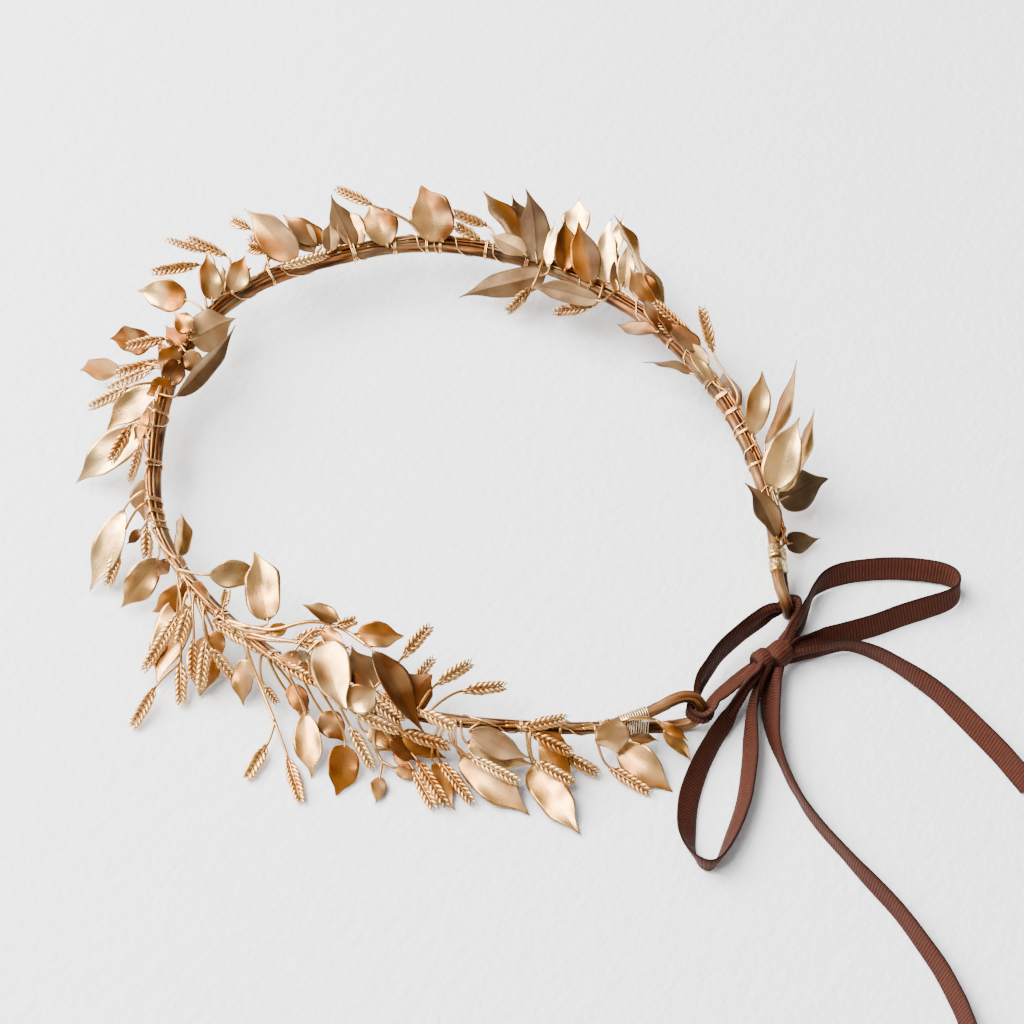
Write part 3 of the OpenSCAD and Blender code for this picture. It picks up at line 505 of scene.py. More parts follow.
# Painted light: browner blotches, partly random tone and partly painted dark reflection, then
# paler patches of painted highlight where the gilding is burnished.
for mask, share, laid_on in ((blotch, 0.60, brown_patch_and_dark_reflection), (painted_gleam, 0.26, (1.0, 0.74, 0.36, 1))):
    colour = mixed(worn, worked(worn, 'MULTIPLY', mask, share), colour, laid_on)
colour = mixed(worn, 1.0, colour, ranged(worn, brushed, 0.3, 0.7, 0.93, 1.04), 'MULTIPLY')
# Small dark specks of wear; then the Rim mark, which is painted shade on edges, creases and
# hollows.
for mask, share, laid_on in ((speck, 0.12, (0.16, 0.085, 0.045, 1)),
                             (given["Rim"], 0.82, (0.095, 0.042, 0.018, 1))):
    colour = mixed(worn, worked(worn, 'MULTIPLY', mask, share), colour, laid_on)
dull = ranged(worn, given["Satin"], low=0.26, high=0.0)
uneven = ranged(worn, blotch, low=0.22, high=0.36)
place(worn, "NodeGroupOutput", {
    "Colour": colour, "Roughness": worked(worn, 'ADD', dull, uneven),
    "Metal": ranged(worn, given["Satin"], low=0.05, high=1.0),
    "Height": worked(worn, 'SUBTRACT', brushed, speck)})


def gilded_material(name, patch, bump_depth):
    """A material with gilding, its wear and painted light laid in it; returns it with its tree and
    the group's node.
    """
    material, tree, shader = new_material(name)
    tone = attribute(tree, "tone")
    laid = place(tree, "ShaderNodeGroup", node_tree=worn)
    feed(tree, laid, {"Tone": tone["Color"], "Satin": tone["Alpha"], "Patch": patch,
                      "Rim": attribute(tree, "rim")["Fac"], "Lay": lay_in(tree)})
    feed(tree, shader, {
        "Base Color": laid.outputs["Colour"], "Roughness": laid.outputs["Roughness"],
        "Metallic": laid.outputs["Metal"], "Specular IOR Level": 0.1,
        "Normal": bumped(tree, laid.outputs["Height"], 0.16, bump_depth)})
    return material, tree, laid


# The tape of the band is browner than the leaves, with long streaks of gold left in it.
bronzed_tape, tree, laid = gilded_material("bronzed_tape", 240, 0.00010)
streaks = noise_in(tree, lay_in(tree), (85, 900, 1), 3.0, Distortion=0.5)
tape_colours = place(tree, "ShaderNodeValToRGB", {"Fac": streaks})
ramp = tape_colours.color_ramp
ramp.elements[0].position, ramp.elements[0].color = 0.36, (0.020, 0.0075, 0.003, 1)
ramp.elements[1].position, ramp.elements[1].color = 0.74, (0.38, 0.155, 0.042, 1)
middle_tone = ramp.elements.new(0.48)
middle_tone.color = (0.080, 0.026, 0.0065, 1)
tree.links.new(tape_colours.outputs["Color"], laid.inputs["Tone"])

shell = new_shell()
fine_band = [Vector(curve_at(band_points, i / 20))
             for i in range((len(band_points) - 1) * 20 + 1)]
path, left_over = [fine_band[0]], 0
for a, b in zip(fine_band, fine_band[1:]):
    left_over += (b - a).length
    if left_over >= band_spacing:
        path.append(b)
        left_over = 0
radii = [band_d / 2 * min(1, 0.72 + 0.28 * min(i, len(path) - 1 - i) / 2)
         for i in range(len(path))]
# Painted shade: the tape is darkened under the wire wound on the foot of the left eye.
dark_from, dark_to = spot(617, 724, 7.5), spot(648, 720, 7)
shade = [1.0 if (p - (dark_from + dark_to) / 2).length < (dark_to - dark_from).length / 2 else 0.0
         for p in path]
tube(shell, path, radii, 18, (0.3, 0.15, 0.06, 0.30), rim=shade, side=view_right,
     bumps=tape_relief)
make_piece("head_band", shell, [bronzed_tape], "head_band")

# ---------------------------------------------------------------------------------------------
# Leaves and ears: how each is made. A leaf is cut from thin gilt sheet metal, creased along
# its midrib on a wire, and curled by hand. An ear of grain is a wire with four rows of small cast
# scales. Their wires are gathered into a stem that lies along the band.
# The tones are the leaves of metal laid on: colour, and how burnished it is. In the tables each
# leaf half takes the tone it shows, so they also hold painted light: pale tones for halves
# that catch the light, brown and dark ones for halves in shade.
gilding_tones = {
    "w": (1.00, 0.66, 0.28, 0.95),     # white gold
    "p": (0.80, 0.455, 0.155, 0.95),   # pale gold
    "g": (0.58, 0.290, 0.078, 0.92),   # yellow gold
    "o": (0.41, 0.145, 0.020, 0.82),   # red gold
    "b": (0.18, 0.060, 0.014, 0.85),   # browned gold
    "k": (0.27, 0.155, 0.068, 0.40),   # pale bare ground
    "t": (0.110, 0.062, 0.026, 0.22),  # taupe ground
    "n": (0.064, 0.036, 0.017, 0.20),  # dark taupe ground
    "d": (0.035, 0.016, 0.007, 0.2)}   # dark ground
bare_grounds = "ktn"
leaf_thickness = 0.00034
stalk_d = 0.0009
stem_d = 0.0016
seat_gap = 0.0003
stem_wire_r = 0.00043               # each of the three wires of a stem
stem_before, stem_past = 0.12, 0.1  # how far a stem runs past its ends, in points of the band
runner_r = 0.00036                  # a thinner wire that runs on under the next spray
runner_seat = 0.00040               # from the band to the middle of that wire
scale_pitch = 0.00142               # between the scales in a row of an ear
scale_long, drawn_width = 0.00262, 0.0026  # length of a scale, in an ear of that width
usual_ear_width = 3.0
leaf_steps = 17                     # rings of a leaf along its midrib
leaf_wave = 0.075                   # height of the waves of its edge, as a share of its width
stem_half, tip_half = 0.00036, 0.00014  # least half width of a leaf, at its stem and its tip
leaf_edge, leaf_crease = 0.8, 0.075     # where the edge begins and the crease ends, as shares
usual_arch, usual_twist = 0.05, 0   # of a leaf whose row doesn't give them
across_leaf = (-1, -0.82, -0.56, -0.3, -leaf_crease, 0, leaf_crease, 0.3, 0.56, 0.82, 1)
laid_stems = []  # u0, u1 and lie of each stem, for the binding wire to go round

gilding = gilded_material("gilding", 210, 0.00008)[0]


def blend_tone(a, b, f):
    return tuple(x + (y - x) * f for x, y in zip(a, b))


def stem_at(u, lie):
    return beside_band(u, lie, band_d / 2 + seat_gap + stem_d / 2)


def stalk_route(start_from, lie, base, axis, steps):
    """Curve of a wire from the stem, or from a point of its own, to the base of its leaf."""
    own = isinstance(start_from, list)
    start = spot(*start_from) if own else stem_at(start_from, lie)
    far = (base - start).length
    lift = (base - start).normalized() if own else (start - band_at(start_from)).normalized()
    a = start + lift * far * (0.2 if own else 0.3)
    b = base - axis * far * 0.3
    route = []
    for i in range(steps + 1):
        f = i / steps
        g = 1 - f
        route.append(g**3 * start + 3 * g * g * f * a + 3 * g * f * f * b + f**3 * base)
    return route


def lay_out(base, tip):
    """Axis of a leaf or ear, and the direction of its face towards the view."""
    axis = (tip - base).normalized()
    look = (view_eye - (base + tip) / 2).normalized()
    return axis, (look - look.dot(axis) * axis).normalized()


def leaf(shell, row, lie, dice):
    """A leaf with its wire: two tones, from, base, tip, width, turn and fold. Its arch, twist
    and fullness may follow, and a third tone is the one at its tip."""
    tones, start_from = row[0], row[1]
    base, tip = spot(*row[2:5]), spot(*row[5:8])
    wide, turn, fold = row[8:11]
    arch, twist, fullness = row[11:] + [usual_arch, usual_twist, None][len(row) - 11:]
    axis, face0 = lay_out(base, tip)
    side0 = axis.cross(face0)
    long = (tip - base).length
    fullness = fullness or dice.uniform(1.25, 1.7)
    belly = dice.uniform(0.36, 0.46)
    wave = dice.uniform(0.5, 1.2) * leaf_wave * wide * mm
    phase = dice.uniform(0, 6.28)
    tip_curl = dice.uniform(-0.035, 0.05) * long
    tip_bend = dice.choice((-1, 1)) * dice.uniform(0.03, 0.13) * long
    bare = tones[0] in bare_grounds and tones[1] in bare_grounds
    cup = dice.uniform(0.25, 0.5) if bare else 1
    creased = dice.uniform(0.6, 0.9) if bare else dice.uniform(0, 0.15)
    if not bare:
        fold *= 0.5
        twist += dice.choice((-1, 1)) * dice.uniform(8, 24)
    lobe = [(dice.uniform(0, 6.28), dice.uniform(6, 10)) for side in range(2)]
    left, right = gilding_tones[tones[0]], gilding_tones[tones[1]]
    back_tone = gilding_tones["g" if turn > 90 else "t"]
    tip_tone = gilding_tones[tones[2]] if len(tones) > 2 else None
    split = 4.5 if fold >= 11 and not bare else 1.2
    fold_angle = math.radians(fold)
    faces_view = math.cos(math.radians(turn)) >= 0
    seed = Vector((dice.uniform(0, 90), dice.uniform(0, 90), 0))
    rings, lay_rows, tone_rows, rim_rows = [], [], [], []
    for i in range(leaf_steps + 1):
        s = i / leaf_steps
        angle = math.radians(turn + twist * (s - 0.5))
        n = math.cos(angle) * face0 + math.sin(angle) * side0
        side = axis.cross(n)
        middle = base + axis * long * s + n * arch * long * 4 * s * (1 - s)
        middle += n * tip_curl * s**4 + side * tip_bend * s**3 * (1 - s) * 3
        if 0 < s < 1:
            share = ((s / belly) ** (fullness * belly)
                     * ((1 - s) / (1 - belly)) ** (fullness * (1 - belly)))
        else:
            share = 0
        # the last third is drawn out to a narrow tip
        drawn = min(1, max(0, (s - 0.62) / 0.3))
        share *= 1 - 0.58 * drawn * drawn * (3 - 2 * drawn)
        half = max(wide * 0.0005 * share, stem_half if s < 0.5 else tip_half)
        top, under, top_tone, under_tone, marks, row_lay = [], [], [], [], [], []
        for v in across_leaf:
            lift = half * math.sin(fold_angle) * (abs(v) * (1 - cup) + v * v * cup)
            lift += wave * v * v * share * math.sin(s * 11 + phase + (1.7 if v < 0 else 0))
            start, pace = lobe[v > 0]
            spread = v * half * math.cos(fold_angle) * (1 + 0.06 * math.sin(start + pace * s))
            crinkle = noise.noise(seed + Vector((s * long * 260, v * half * 420, 1)))
            crease = max(0, 1 - abs(v) / leaf_crease)
            depth = leaf_thickness / 2 * (1 - 0.45 * abs(v) ** 3) * (0.55 + 0.45 * share)
            point = middle + side * spread + n * (lift + crinkle * 0.00016 * share)
            top.append(point + n * (depth - crease * creased * 0.00012 * share))
            under.append(point - n * (depth + crease * creased * 0.00026))
            # Painted light: the two halves of a leaf take the two tones of its row, which stand
            # partly for its gilding and partly for painted light and shade, one half painted lit
            # and the other shaded.
            part = 0.5 + 0.45 * math.sin(math.pi / 2 * max(-1, min(1, v * split)))
            seen = blend_tone(left, right, part if faces_view else 1 - part)
            patch = noise.noise(seed + Vector((s * 3.1, v * 1.4, 7))) * 0.5 + 0.5
            seen = blend_tone(seen, gilding_tones["b"], 0.55 * max(0, 0.6 - s) * patch)
            if tip_tone:
                seen = blend_tone(seen, tip_tone, min(1, max(0, (s - 0.4 + 0.2 * patch) / 0.3)))
            top_tone.append(seen if faces_view else back_tone)
            under_tone.append(back_tone if faces_view else seen)
            # Painted shade: the Rim mark darkens the edge of the leaf and its midrib crease.
            edge = max(0, (abs(v) - leaf_edge) / 0.2)
            marks.append(max(0.55 * edge, creased * crease * (1 - 0.4 * s)))
            row_lay.append((s * long, v * half))
        rings.append(top + under[::-1])
        lay_rows.append(row_lay + row_lay[::-1] + row_lay[:1])
        tone_rows.append(top_tone + under_tone[::-1])
        rim_rows.append(marks + marks[::-1])
    skin(shell, rings, lay_rows, tone_rows, rim_rows)
    route = stalk_route(start_from, lie, base, axis, 10) + [base + axis * min(0.004, long * 0.2)]
    thin = stalk_d / 2
    radii = [thin * (1 - 0.25 * i / 10) for i in range(11)] + [thin * 0.3]
    tube(shell, route, radii, 7, gilding_tones["p" if "w" in tones or "p" in tones else "g"],
         rim=0.1)


ear_outline = ((0, 0.5), (0.22, 1.0), (0.74, 0.82), (1, 0.34))  # size of a scale along the ear
ear_rows = ((26, 0.1), (154, 0.6), (-26, 0.35), (206, 0.85))    # angle and start of each row
scale_shape = ((0, 0.45), (0.14, 0.9), (0.45, 1), (0.76, 0.72), (1, 0.08))
scale_lean = math.radians(35)


def ear(shell, row, lie, dice):
    """An ear with its wire: tone, from, base, tip and perhaps width."""
    tone, start_from = gilding_tones[row[0]], row[1]
    base, tip = spot(*row[2:5]), spot(*row[5:8])
    wide = (row[8] if len(row) > 8 else usual_ear_width) * mm
    axis, face0 = lay_out(base, tip)
    side0 = axis.cross(face0)
    long = (tip - base).length

    def middle_at(s):
        return base + axis * long * s + face0 * 0.03 * long * 4 * s * (1 - s)

    spine = [middle_at(i / 8 * 0.94) for i in range(9)]
    tube(shell, spine, [0.00042 - 0.00026 * i / 8 for i in range(9)], 6, tone, rim=0.45)
    route = stalk_route(start_from, lie, base, axis, 10)
    tube(shell, route, [stalk_d / 2 * (1 - 0.2 * i / 10) for i in range(11)], 7,
         gilding_tones["g"], rim=0.1)
    count = max(6, round(long / scale_pitch))
    for j in range(count):
        for around, begins in ear_rows:
            s = (j + begins) / count
            if s > 0.97:
                continue
            for (s0, w0), (s1, w1) in zip(ear_outline, ear_outline[1:]):
                if s0 <= s <= s1:
                    size = w0 + (w1 - w0) * (s - s0) / (s1 - s0)
            size *= wide / drawn_width * dice.uniform(0.94, 1.08)
            angle = math.radians(around + dice.uniform(-4, 4))
            radial = math.cos(angle) * side0 + math.sin(angle) * face0 * 0.62
            forward = (math.cos(scale_lean) * axis
                       + math.sin(scale_lean) * radial).normalized()
            across = forward.cross(radial).normalized()
            outward = across.cross(forward)
            root = middle_at(s) + radial * 0.00012
            reach = scale_long * size
            rings, lay_rows, rims = [], [], []
            for f, r in scale_shape:
                point = root + forward * reach * f + outward * 0.00016 * math.sin(3.1 * f)
                rings.append([point + across * 0.00038 * size * r * math.cos(math.pi * k / 3)
                              - outward * 0.00050 * size * r * math.sin(math.pi * k / 3)
                              for k in range(6)])
                lay_rows.append([(s * long + reach * f, 0.0004 * k) for k in range(7)])
                # Painted shade at the root of each scale, where it meets the spine.
                rims.append(max(0, 1 - f * 3.0))
            lit = blend_tone(tone, gilding_tones["w"], 0.5 * dice.random())
            skin(shell, rings, lay_rows, [lit] * 5, rims)


def branch(shell, u, lie, points):
    """Long thin wire that leaves the stem and goes through points of its own."""
    rows = [stem_at(u, lie)] + [spot(*p) for p in points]
    steps = (len(rows) - 1) * 6
    route = [Vector(curve_at(rows, i / 6)) for i in range(steps + 1)]
    tube(shell, route, [0.00060 - 0.00010 * i / steps for i in range(steps + 1)], 8,
         gilding_tones["p"], rim=0.05)


def spray(name, u0, u1, lie, leaves, ears=(), branches=()):
    """A spray: its stem of three wires along the band, from u0 to u1, with what grows from it."""
    dice = random.Random(name)
    shell = new_shell()
    laid_stems.append((u0, u1, lie))
    stem_tones = "gob" if u0 > 14 else "bbo"
    steps = 24
    for strand in range(3):
        route, tones = [], []
        for i in range(steps + 1):
            u = u0 - stem_before + (u1 + stem_past - u0 + stem_before) * i / steps
            angle = 2 * math.pi * strand / 3 + i * 0.16
            out = band_heading(u).cross(up).normalized()
            middle = stem_at(u, lie)
            route.append(middle + stem_wire_r * (math.cos(angle) * out + math.sin(angle) * up))
            tones.append(gilding_tones[stem_tones[strand]])
        tube(shell, route, [stem_wire_r] * (steps + 1), 7, tones, rim=0.12)
    # two thinner wires that run on under the next spray
    for side_lie, run_on in ((-34, 0.9), (33, 0.55)):
        route = []
        for i in range(steps + 1):
            u = min(u0 + 0.1 + (u1 + run_on - u0) * i / steps, 33.4)
            wander = 5 * noise.noise(Vector((u * 1.3, u0, side_lie)))
            route.append(beside_band(u, lie + side_lie + wander, band_d / 2 + runner_seat))
        tube(shell, route, [runner_r] * (steps + 1), 6, gilding_tones["b"], rim=0.35)
    for points in branches:
        branch(shell, points[0], lie, points[1])
    for row in leaves:
        leaf(shell, row, lie, dice)
    for row in ears:
        ear(shell, row, lie, dice)
    make_piece(name, shell, [gilding], name)


# ---------------------------------------------------------------------------------------------
# Sprays of the right end. Five small sprays of broad folded leaves stand up beside the foil
# bands and along the right side, each bound to the outside of the band by its stem.
spray("spray_01", 0.35, 0.95, 20, [
    ["nn", 0.5, 786, 544, 6, 820, 538, 3, 6.2, 180, 10, 0.04],
    ["nt", 0.7, 777, 538, 14, 745, 483, 20, 8, 40, 18, 0.05, 10]])
spray("spray_02", 1.05, 2.15, 31, [
    ["nn", 1.25, 779, 500, 10, 830, 478, 8, 10.6, 180, 10, 0.05, 0, 1.1],
    ["op", 1.42, 779, 491, 12, 811, 408, 21, 9, 60, 30, 0.04],
    ["pw", 1.66, 771, 489, 16, 800, 418, 25, 10.4, 0, 16, 0.06],
    ["op", 1.96, 765, 444, 15, 796, 360, 26, 7, 56, 28]])
spray("spray_03", 2.3, 3.85, 40, [
    ["gw", 2.5, 752, 436, 14.5, 762, 371, 23, 7, 10, 20],
    ["bb", 2.9, 738, 412, 9, 724, 369, 0.4, 6, 0, 12, 0.03],
    ["gg", 3.7, 714, 383, 16, 687, 349, 20, 3.2, 20, 15]], [
    ["g", 3.5, 713, 352, 20, 701, 306, 28]])
spray("spray_04", 4, 5.85, 55, [
    ["nb", 4.4, 692, 374, 17.5, 643, 361, 14.5, 6, 70, 20, 0.04],
    ["nb", 4.75, 698, 352, 18, 667, 322, 19.5, 6.5, 28, 18],
    ["bn", 5.2, 684, 342, 18, 655, 306, 21, 6, 36, 20, 0.04],
    ["bn", 5.6, 668, 332, 17.5, 640, 298, 20, 6.5, 24, 18],
    ["nb", 4.2, 708, 366, 17, 690, 340, 19, 4, 0, 15, 0.04]], [
    ["g", 4.6, 697, 343, 17, 655, 302, 22],
    ["b", 4.9, 690, 348, 17, 660, 322, 19]])
spray("spray_05", 6, 7.55, 57, [
    ["pp", 6.1, 662, 308, 18, 633, 252, 26, 7, 60, 25],
    ["ob", 6.2, 656, 304, 19, 630, 267, 25, 8, 10, 20],
    ["wo", 6.5, 642, 276, 20, 613, 215, 31, 7, 62, 25, 0.04],
    ["tb", 6.8, 617, 292, 17.5, 617, 252, 21.5, 5, 10, 20],
    ["wp", 6.75, 624, 288, 18, 629, 244, 24, 5.4, 0, 18],
    ["ww", 6.95, 610, 262, 20, 624, 214, 27, 4.6, -14, 18],
    ["nb", 6.05, 657, 332, 17, 617, 324, 13, 4.6, 20, 15, 0.03],
    ["tt", 7, 600, 301, 18, 529, 289, 12.5, 6.4, 10, 15, 0.04],
    ["ww", 7.15, 606, 286, 16.5, 611, 218, 26.5, 7, -10, 20, 0.04],
    ["on", 7.5, 591, 284, 18.5, 579, 221, 28.5, 8.6, 2, 24]], [
    ["b", 7.35, 592, 307, 16, 553, 312, 11]])

# ---------------------------------------------------------------------------------------------
# Sprays of the far side. Upright leaves with pale fronts and bare taupe backs, and a few small
# ears, fan out over the front of the head.
spray("spray_06", 7.75, 8.95, 55, [
    ["ww", 8.1, 574, 240, 20, 580, 200, 25, 8.6, -16, 20],
    ["bo", 8.3, 565, 271, 18.5, 566, 218, 26, 7, 15, 22],
    ["nn", 8.85, 537, 262, 18.5, 525, 188, 30, 10, 168, 14],
    ["ww", 8.75, 549, 266, 18, 554, 220, 24, 4, -14, 15, 0.04],
    ["tt", 8.6, 546, 274, 17.5, 457, 298, 6, 9, 180, 20, 0.04]], [
    ["b", 8.72, 531, 288, 16, 507, 312, 8]])
spray("spray_07", 9.1, 10.55, 50, [
    ["kk", 9.34, 526, 255, 20.8, 489, 233, 22.5, 7, 20, 18],
    ["bb", 9.2, 528, 240, 17, 511, 195, 22, 6.4, 45, 25, 0.04],
    ["po", 9.5, 519, 246, 18, 484, 190, 27, 10.5, 50, 25]], [
    ["p", 9.75, 487, 226, 20, 452, 212, 24],
    ["g", 9.94, 480, 240, 18.5, 455, 225, 21]])
spray("spray_08", 10.7, 11.85, 45, [
    ["pb", 10.85, 443, 241, 19, 421, 185, 29, 13, 0, 24, 0.05, 0, 1.0],
    ["bb", 11.15, 432, 232, 19, 409, 207, 21, 5, 0, 15, 0.04]], [
    ["p", [390, 212.5, 26], 372, 205, 27.8, 335, 188, 30]], [
    [11.35, [[420, 233, 20.4], [406, 220, 24], [384.6, 209.9, 27]]]])
spray("spray_09", 12, 13.4, 45, [
    ["pb", 12.2, 388, 246, 18.5, 369, 202, 24, 11, 0, 24],
    ["tt", 12.8, 352, 248, 18.5, 331, 194, 28, 8.4, 175, 20],
    ["kp", 12.6, 358, 247, 18, 343, 208, 23, 8.6, 0, 18],
    ["kk", 13.2, 330, 252, 18.5, 330, 222, 23, 6, 10, 20]])
spray("spray_10", 13.5, 14.85, 45, [
    ["bo", 13.6, 321, 246, 19.5, 283, 214, 24, 8, 30, 20],
    ["kk", 13.85, 314, 252, 18.5, 294, 222, 22, 7.6, 0, 16],
    ["ok", 14.1, 297, 260, 19, 244, 209, 27, 10.5, -5, 20]], [
    ["p", 14.6, 250, 229, 21, 232, 220, 22],
    ["g", 14.2, 286, 252, 17.5, 248, 238, 18],
    ["g", 14.75, 270, 251, 19, 249, 248, 20],
    ["w", 13.9, 283, 267, 20.4, 329, 254, 21, 2.6]])

# ---------------------------------------------------------------------------------------------
# Sprays of the left side. Smaller leaves and most of the ears point out and down to the table.
spray("spray_11", 15, 16.4, 48, [
    ["owo", 15.1, 232, 292, 19.5, 245, 256, 25, 7.4, 0, 20],
    ["bb", 15.5, 224, 297, 18, 222, 265, 22, 5, 175, 15, 0.04],
    ["oo", 15.3, 226, 284, 19.5, 251, 268, 22, 5.4, 0, 15, 0.04],
    ["owo", 16.1, 212, 300, 20, 207, 254, 27, 7, 10, 20, 0.04],
    ["oow", 16.35, 187, 300, 19.5, 136, 291, 19, 9.6, 0, 18, 0.06]], [
    ["p", 15.7, 226, 256, 19.5, 187, 238, 22.5],
    ["p", 15.9, 205, 252, 21, 165, 239, 24, 2.2],
    ["g", 16.25, 199, 265, 20, 151, 272, 20]])
spray("spray_12", 16.55, 18.15, 50, [
    ["og", 16.7, 192, 331, 22, 174, 313, 24.5, 6, 0, 18],
    ["kk", 16.9, 191, 340, 19.5, 236, 318, 20, 12.4, 180, 10, 0.06],
    ["bb", 17.1, 185, 345, 19.5, 166, 326, 21, 6, 0, 15],
    ["bb", 17.85, 180, 362, 19, 162, 388, 17, 7.4, 0, 18],
    ["bo", 17.3, 180, 350, 20, 156, 366, 18, 6.4, 0, 16, 0.04],
    ["ob", 17.25, 186, 352, 19.8, 203, 372, 16, 6.4, 20, 15, 0.04],
    ["ob", 17.6, 152, 342, 18, 111, 338, 14.5, 8.6, -16, 20],
    ["pp", 17.7, 165, 358, 17.5, 162, 341, 16, 2.8, 0, 10, 0.04],
    ["oo", 18, 119, 366, 12.5, 81, 370, 5.5, 7, -16, 18]], [
    ["o", 17.4, 165, 339, 20.5, 127, 346, 18.5],
    ["o", 17.85, 163, 360, 18.5, 114, 375, 15],
    ["w", 18.05, 154, 368, 19, 106, 390, 15, 2.6]])
spray("spray_13", 18.35, 20.35, 48, [
    ["kt", 18.6, 176, 396, 19.5, 234, 325, 20, 7.4, 40, 22, 0.04],
    ["wwp", 18.75, 162, 385, 18, 107, 432, 8, 9.4, 15, 22],
    ["oo", 19.05, 148, 408, 18.5, 140, 447, 14, 3, 20, 15, 0.04],
    ["ww", 19.7, 143, 428, 14, 75, 484, 2.5, 10.4, 15, 22],
    ["kt", 19.0, 154, 400, 19.5, 153, 457, 15, 6.4, 175, 15, 0.04],
    ["bo", 18.3, 173, 384, 19, 146, 394, 17, 6.6, 0, 18],
    ["op", 19.3, 150, 424, 16, 134, 440, 13, 5, 0, 15, 0.04]], [
    ["w", 18.4, 128, 388, 20.5, 88, 408, 16],
    ["o", 19.45, 131, 425, 19, 110, 463, 12],
    ["p", 20.1, 142, 442, 13, 129, 484, 5, 2.4]])
spray("spray_14", 20.5, 22.55, 50, [
    ["kk", 20.6, 147, 479, 14.5, 145, 521, 8, 8, 10, 14],
    ["ww", 20.9, 124, 510, 15, 91, 592, 0.4, 8.4, 20, 20],
    ["bb", 21.6, 141, 530, 12, 127, 544, 9, 3, 0, 15, 0.04],
    ["pg", 22, 178, 556, 19.8, 182, 512, 20.8, 6.5, 40, 30, 0.04],
    ["gp", 22.2, 158, 558, 12, 121, 608, 2, 8.8, 0, 20],
    ["bb", 22.4, 167, 559, 15.4, 157, 577, 10.5, 4, 0, 15, 0.04]], [
    ["p", 21.2, 119, 547, 9, 108, 586, 3],
    ["p", 21.35, 147, 527, 13, 147, 558, 7]])
spray("spray_15", 22.75, 24.25, 50, [
    ["bo", 23.35, 189, 586, 15.5, 152, 612, 8, 6.4, 0, 18],
    ["wp", 23.2, 181, 600, 11, 158, 686, 0.4, 10, 12, 14],
    ["ow", 23.65, 207, 636, 9, 199, 697, 0.4, 9.6, 0, 16],
    ["oo", 23.9, 213, 630, 13, 222, 658, 8, 4.6, 0, 15, 0.04],
    ["ob", 23.3, 173, 640, 7, 157, 674, 2, 5.4, 0, 16, 0.04],
    ["pw", 22.95, 209, 575, 19, 264, 573, 18, 7.6, 10, 12, 0.04],
    ["bb", 22.85, 193, 582, 16.8, 213, 602, 16, 4, 20, 15, 0.03]], [
    ["p", 23.05, 179, 614, 13.5, 143, 672, 4.5],
    ["p", 23.45, 190, 608, 16.4, 178, 645, 11.5],
    ["p", 23.55, 181, 661, 6.5, 181, 705, 1.6],
    ["p", [181, 661, 6.5], 155, 688, 4.4, 132, 728, 1.3],
    ["p", 23.8, 207, 640, 12, 200, 690, 5],
    ["w", 24.05, 211, 648, 11, 237, 682, 3],
    ["g", 23.7, 194, 638, 12, 192, 680, 5, 2.4]])

# ---------------------------------------------------------------------------------------------
# Sprays of the near side. The longest wires cross the band here, with rounded leaves inside
# the wreath and long pointed ones lying out on the table.
spray("spray_16", 24.4, 25.85, 55, [
    ["gp", 24.8, 268, 621, 18, 254, 553, 25, 10, 0, 16, 0.05, 0, 1.05],
    ["kg", 25.1, 247, 658, 9, 244, 706, 0.8, 6.4, 20, 22],
    ["og", 24.75, 268, 633, 17.4, 291, 626, 17.6, 3.8, 0, 15, 0.04],
    ["bo", 25.7, 291, 684, 9, 307, 717, 5, 5.4, 0, 15, 0.04],
    ["bg", [340, 628, 19], 340, 621, 20, 302, 605, 22, 5, 30, 25, 0.05, 40],
    ["og", [352, 635, 19.5], 357, 634, 19.5, 404, 636, 18, 7, 0, 20, 0.05, 0, 1.0],
    ["bb", [366, 645, 20.5], 373, 651, 22.5, 427, 735, 14.5, 8.5, -30, 22, 0.04]], [
    ["g", 24.5, 223, 609, 17.5, 227, 590, 20, 2.2],
    ["g", 24.45, 214, 622, 15, 266, 652, 13, 3.4],
    ["g", 25.35, 277, 661, 16.5, 318, 683, 14.5],
    ["p", 25.2, 294, 640, 18, 328, 628, 18.5, 2.4],
    ["g", [330, 625, 19], 335, 627, 20.5, 356, 620, 21.5, 2.4],
    ["p", [290, 641, 18], 298, 643, 18.4, 350, 651, 17.6],
    ["p", [275, 722, 3.6], 288, 758, 1.8, 301, 802, 1.3],
    ["p", [275, 722, 3.6], 267, 745, 2.2, 246, 779, 1.3],
    ["g", 25.7, 264, 685, 8, 278, 704, 5, 1.8],
    ["g", 25.8, 286, 690, 8, 306, 714, 4]], [
    [24.6, [[268, 630, 18], [300, 623, 19.5], [320, 622, 19.5], [340, 628, 19], [352, 635, 19.5],
           [366, 645, 20.5]]],
    [24.9, [[262, 637, 17.5], [290, 641, 18], [318, 643, 18]]],
    [25.2, [[249, 655, 11], [262, 690, 6], [275, 722, 3.6]]]])
spray("spray_17", 26, 27.55, 60, [
    ["wb", 26.5, 324, 642, 20, 347, 712, 17.5, 10.4, 0, 20, 0.05, 0, 0.9],
    ["oo", 26.3, 322, 630, 21.5, 345, 645, 21, 4, 180, 15, 0.03],
    ["ow", 27.1, 349, 707, 15.5, 377, 686, 18.5, 8.6, 0, 18, 0.04],
    ["pg", 26.2, 305, 714, 7, 311, 778, 0.5, 8, 10, 22],
    ["ob", 26.6, 322, 712, 8, 345, 742, 3, 7, 0, 15, 0.04],
    ["oo", 26.9, 345, 745, 5, 336, 796, 0.4, 8.9, -16, 20, 0.05, 0, 1.1],
    ["ob", 26.7, 314, 664, 16.5, 276, 657, 17.5, 5.2, 0, 15, 0.04],
    ["dd", 26.8, 308, 662, 18.6, 298, 649, 20.5, 3, 175, 12, 0.04]], [
    ["w", 27.5, 356, 714, 14, 400, 731, 10.5],
    ["w", 27.3, 350, 726, 8, 373, 768, 2]])
